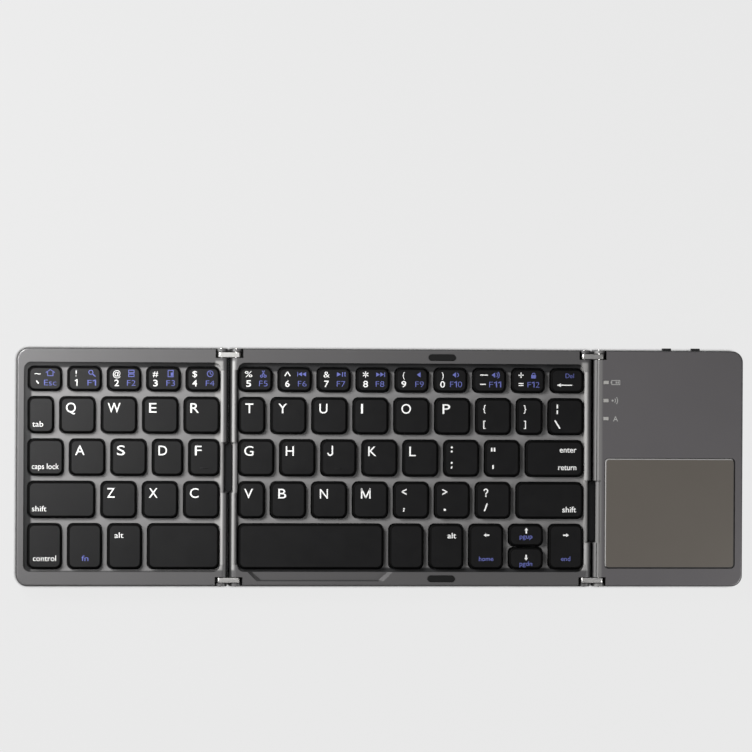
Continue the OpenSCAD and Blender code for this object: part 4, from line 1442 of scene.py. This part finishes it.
@dataclass
class TouchpadWing:
    """The touchpad and the printed marks beside the indicator windows.

    Attributes:
        corner: corner radius of the touchpad.
        edge: radius of the touchpad's upper edge.
        glass: thickness of the lacquered pad.
        board_inset: how far its sensor board stays inside its edges.
        board_corner: corner radius of the board.
        rim_slope: least Z of the rounded edge's normals, and least Y over X of the normals of its faces with
            the painted highlight.
        mark_x: place of the marks' middle.
        ink_height: thickness of the printed marks.
    """

    corner: float = 1.6
    edge: float = 0.5
    glass: float = 1.1
    board_inset: float = 2.2
    board_corner: float = 0.3
    rim_slope: float = 0.1
    mark_x: float = 97.15
    ink_height: float = 0.02

    def touchpad(self) -> None:
        """Builds the lacquered pad, with a finely rounded edge, over its sensor board; the edge has a painted
        highlight on its back and left sides and painted shade on its front and right sides.
        """
        box = Box.of_node("touchpad")
        split = box.high.z - self.glass
        pad = Piece("touchpad_glass", "right_wing", "touchpad", [PAD_GLASS, PAD_RIM_HIGHLIGHT, PAD_RIM_SHADE])
        upper = Box(Vector((box.low.x, box.low.y, split)), box.high)
        glass = rounded_slab(upper, self.corner, self.edge, 8)
        glass.normal_update()
        for face in glass.faces:
            # faces of the edge towards the back and left get the painted highlight, the others painted shade
            rim = 1 if face.normal.y - face.normal.x > self.rim_slope else 2
            face.material_index = rim if self.rim_slope < face.normal.z < LEVEL_NORMAL else 0
        pad.take(glass, None)
        inset = Vector((self.board_inset, self.board_inset, 0))
        board = Box(box.low + inset, Vector((box.high.x, box.high.y, split)) - inset)
        pad.take(rounded_slab(board, self.board_corner, 0.0, 2))
        pad.close(replaces=("touchpad",))

    def marks(self) -> None:
        """Prints a battery, a wireless sign and a capital beside the three windows."""
        windows = solid_boxes("indicator_windows")
        top = Box.of_node("right_top_plate").high.z
        ink = Piece("indicator_marks", "right_wing", "window", [GREY_INK])
        for window, shape in zip(windows, (self.battery(), self.wireless(), self.capital())):
            lift(shape.bm, shape.bm.faces[:], self.ink_height)
            move(shape.bm, self.mark_x, window.centre.y, top)
            ink.take(shape.bm)
        ink.close()

    def battery(self) -> FlatShape:
        """A battery lying down, half full.

        Returns:
            The shape.
        """
        shape = FlatShape(0.3)
        shape.frame((-1.5, -0.85), (1.9, 0.85)).bar((-1.95, 0), (-1.65, 0), 0.8)
        return shape.bar((0.4, -0.45), (0.4, 0.45), 0.5).bar((1.2, -0.45), (1.2, 0.45), 0.5)

    def wireless(self) -> FlatShape:
        """A dot with two arcs.

        Returns:
            The shape.
        """
        foot = (-1.1, 0)
        return FlatShape(0.32).disc(foot, 0.4).arc(foot, 1.2, -45, 90).arc(foot, 2.1, -42, 84)

    def capital(self) -> FlatShape:
        """A plain capital letter.

        Returns:
            The shape.
        """
        shape = lettering("A", 2.2, 0.03)
        move(shape.bm, -0.9, -1.1)
        return shape

    def build(self) -> None:
        """Builds the touchpad and the marks."""
        self.touchpad()
        self.marks()


@dataclass
class SmallParts:
    """Small CAD pieces whose sharp edges are rounded a little.

    Attributes:
        rounded: radius, finish, slot and nodes of each kind.
    """

    rounded: tuple[tuple[float, Finish, str, tuple[str, ...]], ...] = (
        (0.22, LINK_METAL, "steel", ("left_hinge_links", "right_hinge_links")),
        (0.2, FLEX_COVER, "black_plastic", ("left_cable_cover", "right_cable_cover")),
        (0.15, BLACK_PLASTIC, "black_plastic", ("power_switch", "pairing_button")),
        (0.15, RUBBER, "rubber", ("left_feet", "middle_feet", "right_feet", "fold_bumpers")),
        (0.1, PIN_METAL, "steel", ("left_pins", "middle_pins", "right_pins")),
    )

    def build(self) -> None:
        """Builds a softened copy of each node."""
        carried = frame["record"]["behaviour"]["bodies"]
        bodies = {node: body for body, nodes in carried.items() for node in nodes}
        for radius, finish, slot, nodes in self.rounded:
            for node in nodes:
                piece = Piece("soft_" + node, bodies[node], slot, [finish])
                piece.take(softened_copy(node, radius))
                piece.close(replaces=(node,))


def well_paint(name: str, keys: tuple[str, ...], inset: float, reach: Point, left_painted_highlights: tuple[Point, ...],
               right_painted_highlights: tuple[Point, ...], fold: Point, **changes: object) -> WellFinish:
    """Gives the paint of a case whose key grid is marked out by its keys, with painted shade on the grid's
    margin and in the fold, and painted highlight strips beside the fold.

    Args:
        name: the material's name.
        keys: nodes of keys that reach all four edges of the field of keys.
        inset: how far the painted shade of the margin reaches in between the keys from the left.
        reach: how far the lighter grid reaches past the keys at the front and at the back, before the painted
            shade of the margin.
        left_painted_highlights: edges of the painted highlight strips, from the left edge of the keys.
        right_painted_highlights: edges of the painted highlight strips, from the right edge of the keys.
        fold: edges of the painted shade in the fold, from the right edge of the keys, or from the left one if
            negative.
        changes: what else this paint has otherwise than the common one.

    Returns:
        The paint.
    """
    boxes = [Box.of_node(key) for key in keys]
    front_room, back_room = 1.0, 3.0
    left, front = (min(box.low[i] for box in boxes) for i in range(2))
    right, back = (max(box.high[i] for box in boxes) for i in range(2))
    painted_highlights = [(left + start, left + end) for start, end in left_painted_highlights]
    painted_highlights += [(right + start, right + end) for start, end in right_painted_highlights]
    side = right if fold[0] > 0 else left
    return replace(WELL_PAINT, name=name, field=(left + inset, front - reach[0], back + reach[1]),
                   painted_highlights=tuple(painted_highlights), painted_highlight_ends=(front - front_room, back + back_room),
                   painted_fold_shades=((side + fold[0], side + fold[1]),), **changes)


def scoop_ramp() -> tuple[Point, Point]:
    """Finds the place round the right ramp of the scoop in front of the space bar, where steep faces are
    spared the painted shade.

    Returns:
        Its ends across, and its ends along.
    """
    bar = Box.of_node("space_bar_right")
    before, after, length = 2.0, 5.0, 6.0
    return (bar.high.x - before, bar.high.x + after), (bar.low.y - length, bar.low.y)


def wing_paint() -> CaseFinish:
    """Gives the paint of the wing without keys: its colour is lightened as painted light, with a painted
    highlight strip along its fold.

    Returns:
        The paint.
    """
    edge = Box.of_node("right_top_plate").low.x
    before, after = 1.5, 2.4
    # colour lightened above the other cases' as painted light; the strip beside the fold is a painted
    # highlight
    return replace(CASE_PAINT, name="wing_paint", colour=(0.092, 0.0875, 0.0905),
                   painted_highlights=((edge - before, edge + after),), painted_highlight_colour=(0.15, 0.147, 0.145))


@dataclass
class Casework:
    """The CAD nodes that keep their own meshes.

    Attributes:
        finishes: the finish of each node.
    """

    finishes: dict[str, Finish] = field(default_factory=lambda: {
        "left_case": well_paint(
            "left_well_paint", keys=("number_keys_left", "modifier_keys_left", "space_bar_left"),
            inset=0.9, reach=(1.5, 0.0), left_painted_highlights=(), right_painted_highlights=((-2.1, 1.9),), fold=(2.9, 9.0),
            # a deeper painted shade on the left well's margin
            margin_colour=(0.008, 0.008, 0.0085),
        ),
        "middle_case": well_paint(
            "middle_well_paint",
            keys=("number_keys_middle", "modifier_and_arrow_keys", "key_t", "space_bar_right"),
            inset=-0.6, reach=(0.0, -1.3), left_painted_highlights=((-3.3, -1.4),), right_painted_highlights=((-1.0, 2.5),),
            # the middle case's colour is darker than the left case's, as painted shade
            fold=(-9.0, -2.6), colour=(0.074, 0.072, 0.073), kept=scoop_ramp(),
        ),
        **dict.fromkeys(("right_top_plate", "right_housing"), wing_paint()),
        **dict.fromkeys(("left_bottom_cover", "middle_bottom_cover", "right_bottom_cover"), COVER_PLASTIC),
        **dict.fromkeys(("left_key_mat", "middle_key_mat"), MAT_SILICONE),
        "indicator_windows": WINDOW,
        "main_board": BOARD_MASK,
        "battery": FOIL,
        "charging_socket": SOCKET_METAL,
    })

    def build(self) -> None:
        """Puts each finish on its node."""
        for node, finish in self.finishes.items():
            for slot in frame["nodes"][node].material_slots:
                slot.link = "OBJECT"
                slot.material = finish.build()
            log.info("%s: finish %s", node, finish.name)


# ---------------------------------------------------------------- studio


@dataclass
class Studio:
    """The camera, the lamps and the floor.

    Attributes:
        eye: place of the camera.
        turn: its turns about X, Y and Z from looking straight down, in degrees.
        focal: distance of the image plane, in pixels of the render.
        picture: width of the render, in pixels.
        floor_size: width of the floor.
        floor_gap: how far the floor lies below the feet.
        floor_colour: colour that the floor and the walls show.
        floor_paint: colour of the floor under the lamps.
        painted_contact_shade: colour painted on the floor close under something, as painted shade.
        ceiling_colour: colour of the surround overhead.
        walls: heights where the walls start to darken and where they are the ceiling, from 0 to 1.
        glow_share: how much of the floor's colour is even.
        contact: how near the floor looks for something that covers it.
        clear: shares of open air at which the floor is covered and clear.
        lamps: place, size and power of each lamp; they all look at the middle of the keyboard.
    """

    eye: tuple[float, float, float] = (-196.67, 41.455, 1916.26)
    turn: tuple[float, float, float] = (0.115, 5.798, -0.273)
    focal: float = 4637.0
    picture: float = 752.0
    floor_size: float = 6000.0
    floor_gap: float = 0.02
    floor_colour: Colour = (0.83, 0.83, 0.83)
    floor_paint: Colour = (0.36, 0.36, 0.36)
    painted_contact_shade: Colour = (0.004, 0.004, 0.004)
    ceiling_colour: Colour = (0.05, 0.05, 0.05)
    walls: Point = (0.05, 0.4)
    glow_share: float = 0.96
    contact: float = 2.0
    clear: Point = (0.58, 0.78)
    lamps: tuple[tuple[tuple[float, float, float], float, float], ...] = (
        ((-260.0, 195.0, 265.0), 150.0, 2.3),
        ((-480.0, 90.0, 240.0), 130.0, 1.7),
        ((260.0, -120.0, 150.0), 120.0, 0.33),
        ((-200.0, 60.0, 500.0), 170.0, 0.42),
    )

    def camera(self) -> None:
        """Places the camera."""
        lens = bpy.data.cameras.new("camera")
        lens.sensor_width = 36.0
        lens.lens = self.focal / self.picture * lens.sensor_width
        lens.clip_end = 20.0
        lens.dof.use_dof = False
        tilt_x, tilt_y, tilt_z = (math.radians(angle) for angle in self.turn)
        to_view = (Matrix.Rotation(tilt_z, 4, "Z") @ Matrix.Rotation(tilt_y, 4, "Y")
                   @ Matrix.Rotation(tilt_x, 4, "X"))
        camera = scene_object("camera", lens)
        camera.matrix_world = Matrix.Translation(Vector(self.eye) * MM) @ to_view.transposed()
        bpy.context.scene.camera = camera

    def lights(self) -> None:
        """Hangs the lamps."""
        for number, (place, size, power) in enumerate(self.lamps):
            lamp = bpy.data.lights.new(f"lamp_{number}", "AREA")
            lamp.shape = "DISK"
            lamp.size = size * MM
            lamp.energy = power
            holder = scene_object(f"lamp_{number}", lamp)
            holder.location = Vector(place) * MM
            holder.rotation_euler = (-holder.location).to_track_quat("-Z", "Y").to_euler()

    def world(self) -> None:
        """Sets a dim ceiling over pale walls."""
        world = bpy.data.worlds.new("surround")
        world.use_nodes = True
        nodes = Nodes(world.node_tree)
        height = nodes.parts(nodes.add("ShaderNodeTexCoord").outputs["Generated"])["Z"]
        colour = nodes.mix(nodes.rise(height, self.walls), self.floor_colour, self.ceiling_colour)
        nodes.feed(world.node_tree.nodes["Background"].inputs["Color"], colour)
        bpy.context.scene.world = world

    def floor(self) -> None:
        """Lays a pale floor that keeps its colour where it is seen and takes the shadow, with painted shade
        close under the keyboard.
        """
        bm = bmesh.new()
        bmesh.ops.create_grid(bm, x_segments=1, y_segments=1, size=self.floor_size / 2 * MM)
        move(bm, z=-self.floor_gap * MM)
        mesh = bpy.data.meshes.new("floor")
        bm.to_mesh(mesh)
        bm.free()
        floor = scene_object("floor", mesh)
        material = bpy.data.materials.new("pale_floor")
        material.use_nodes = True
        nodes = Nodes(material.node_tree)
        matt = material.node_tree.nodes["Principled BSDF"]
        open_air = nodes.add("ShaderNodeAmbientOcclusion", {"Distance": self.contact * MM}, samples=8)
        clear = nodes.rise(open_air.outputs["AO"], self.clear)
        # the floor's colour is painted dark close under the keyboard: painted shade
        nodes.feed(matt.inputs["Base Color"], nodes.mix(clear, self.painted_contact_shade, self.floor_paint))
        nodes.feed(matt.inputs["Roughness"], 0.9)
        nodes.feed(matt.inputs["Specular IOR Level"], 0.0)
        path = nodes.add("ShaderNodeLightPath").outputs
        seen = nodes.math("MAXIMUM", path["Is Camera Ray"], path["Is Glossy Ray"])
        seen = nodes.math("MAXIMUM", seen, path["Is Transmission Ray"])
        share = nodes.math("MULTIPLY", nodes.math("MULTIPLY", seen, self.glow_share), clear)
        glow = nodes.add("ShaderNodeEmission", {"Color": self.floor_colour})
        blend = nodes.add("ShaderNodeMixShader", {0: share, 1: matt.outputs[0], 2: glow.outputs[0]})
        nodes.feed(material.node_tree.nodes["Material Output"].inputs[0], blend.outputs[0])
        mesh.materials.append(material)

    def build(self) -> None:
        """Sets up the studio."""
        bpy.context.scene.view_settings.view_transform = "Standard"
        self.camera()
        self.lights()
        self.world()
        self.floor()


def main() -> None:
    """Builds the studio and every sub-assembly in order."""
    logging.basicConfig(level=logging.INFO, format="%(name)s: %(message)s")
    Studio().build()
    Casework().build()
    Keyboard().build()
    TouchpadWing().build()
    SmallParts().build()


if __name__ == "__main__":
    main()
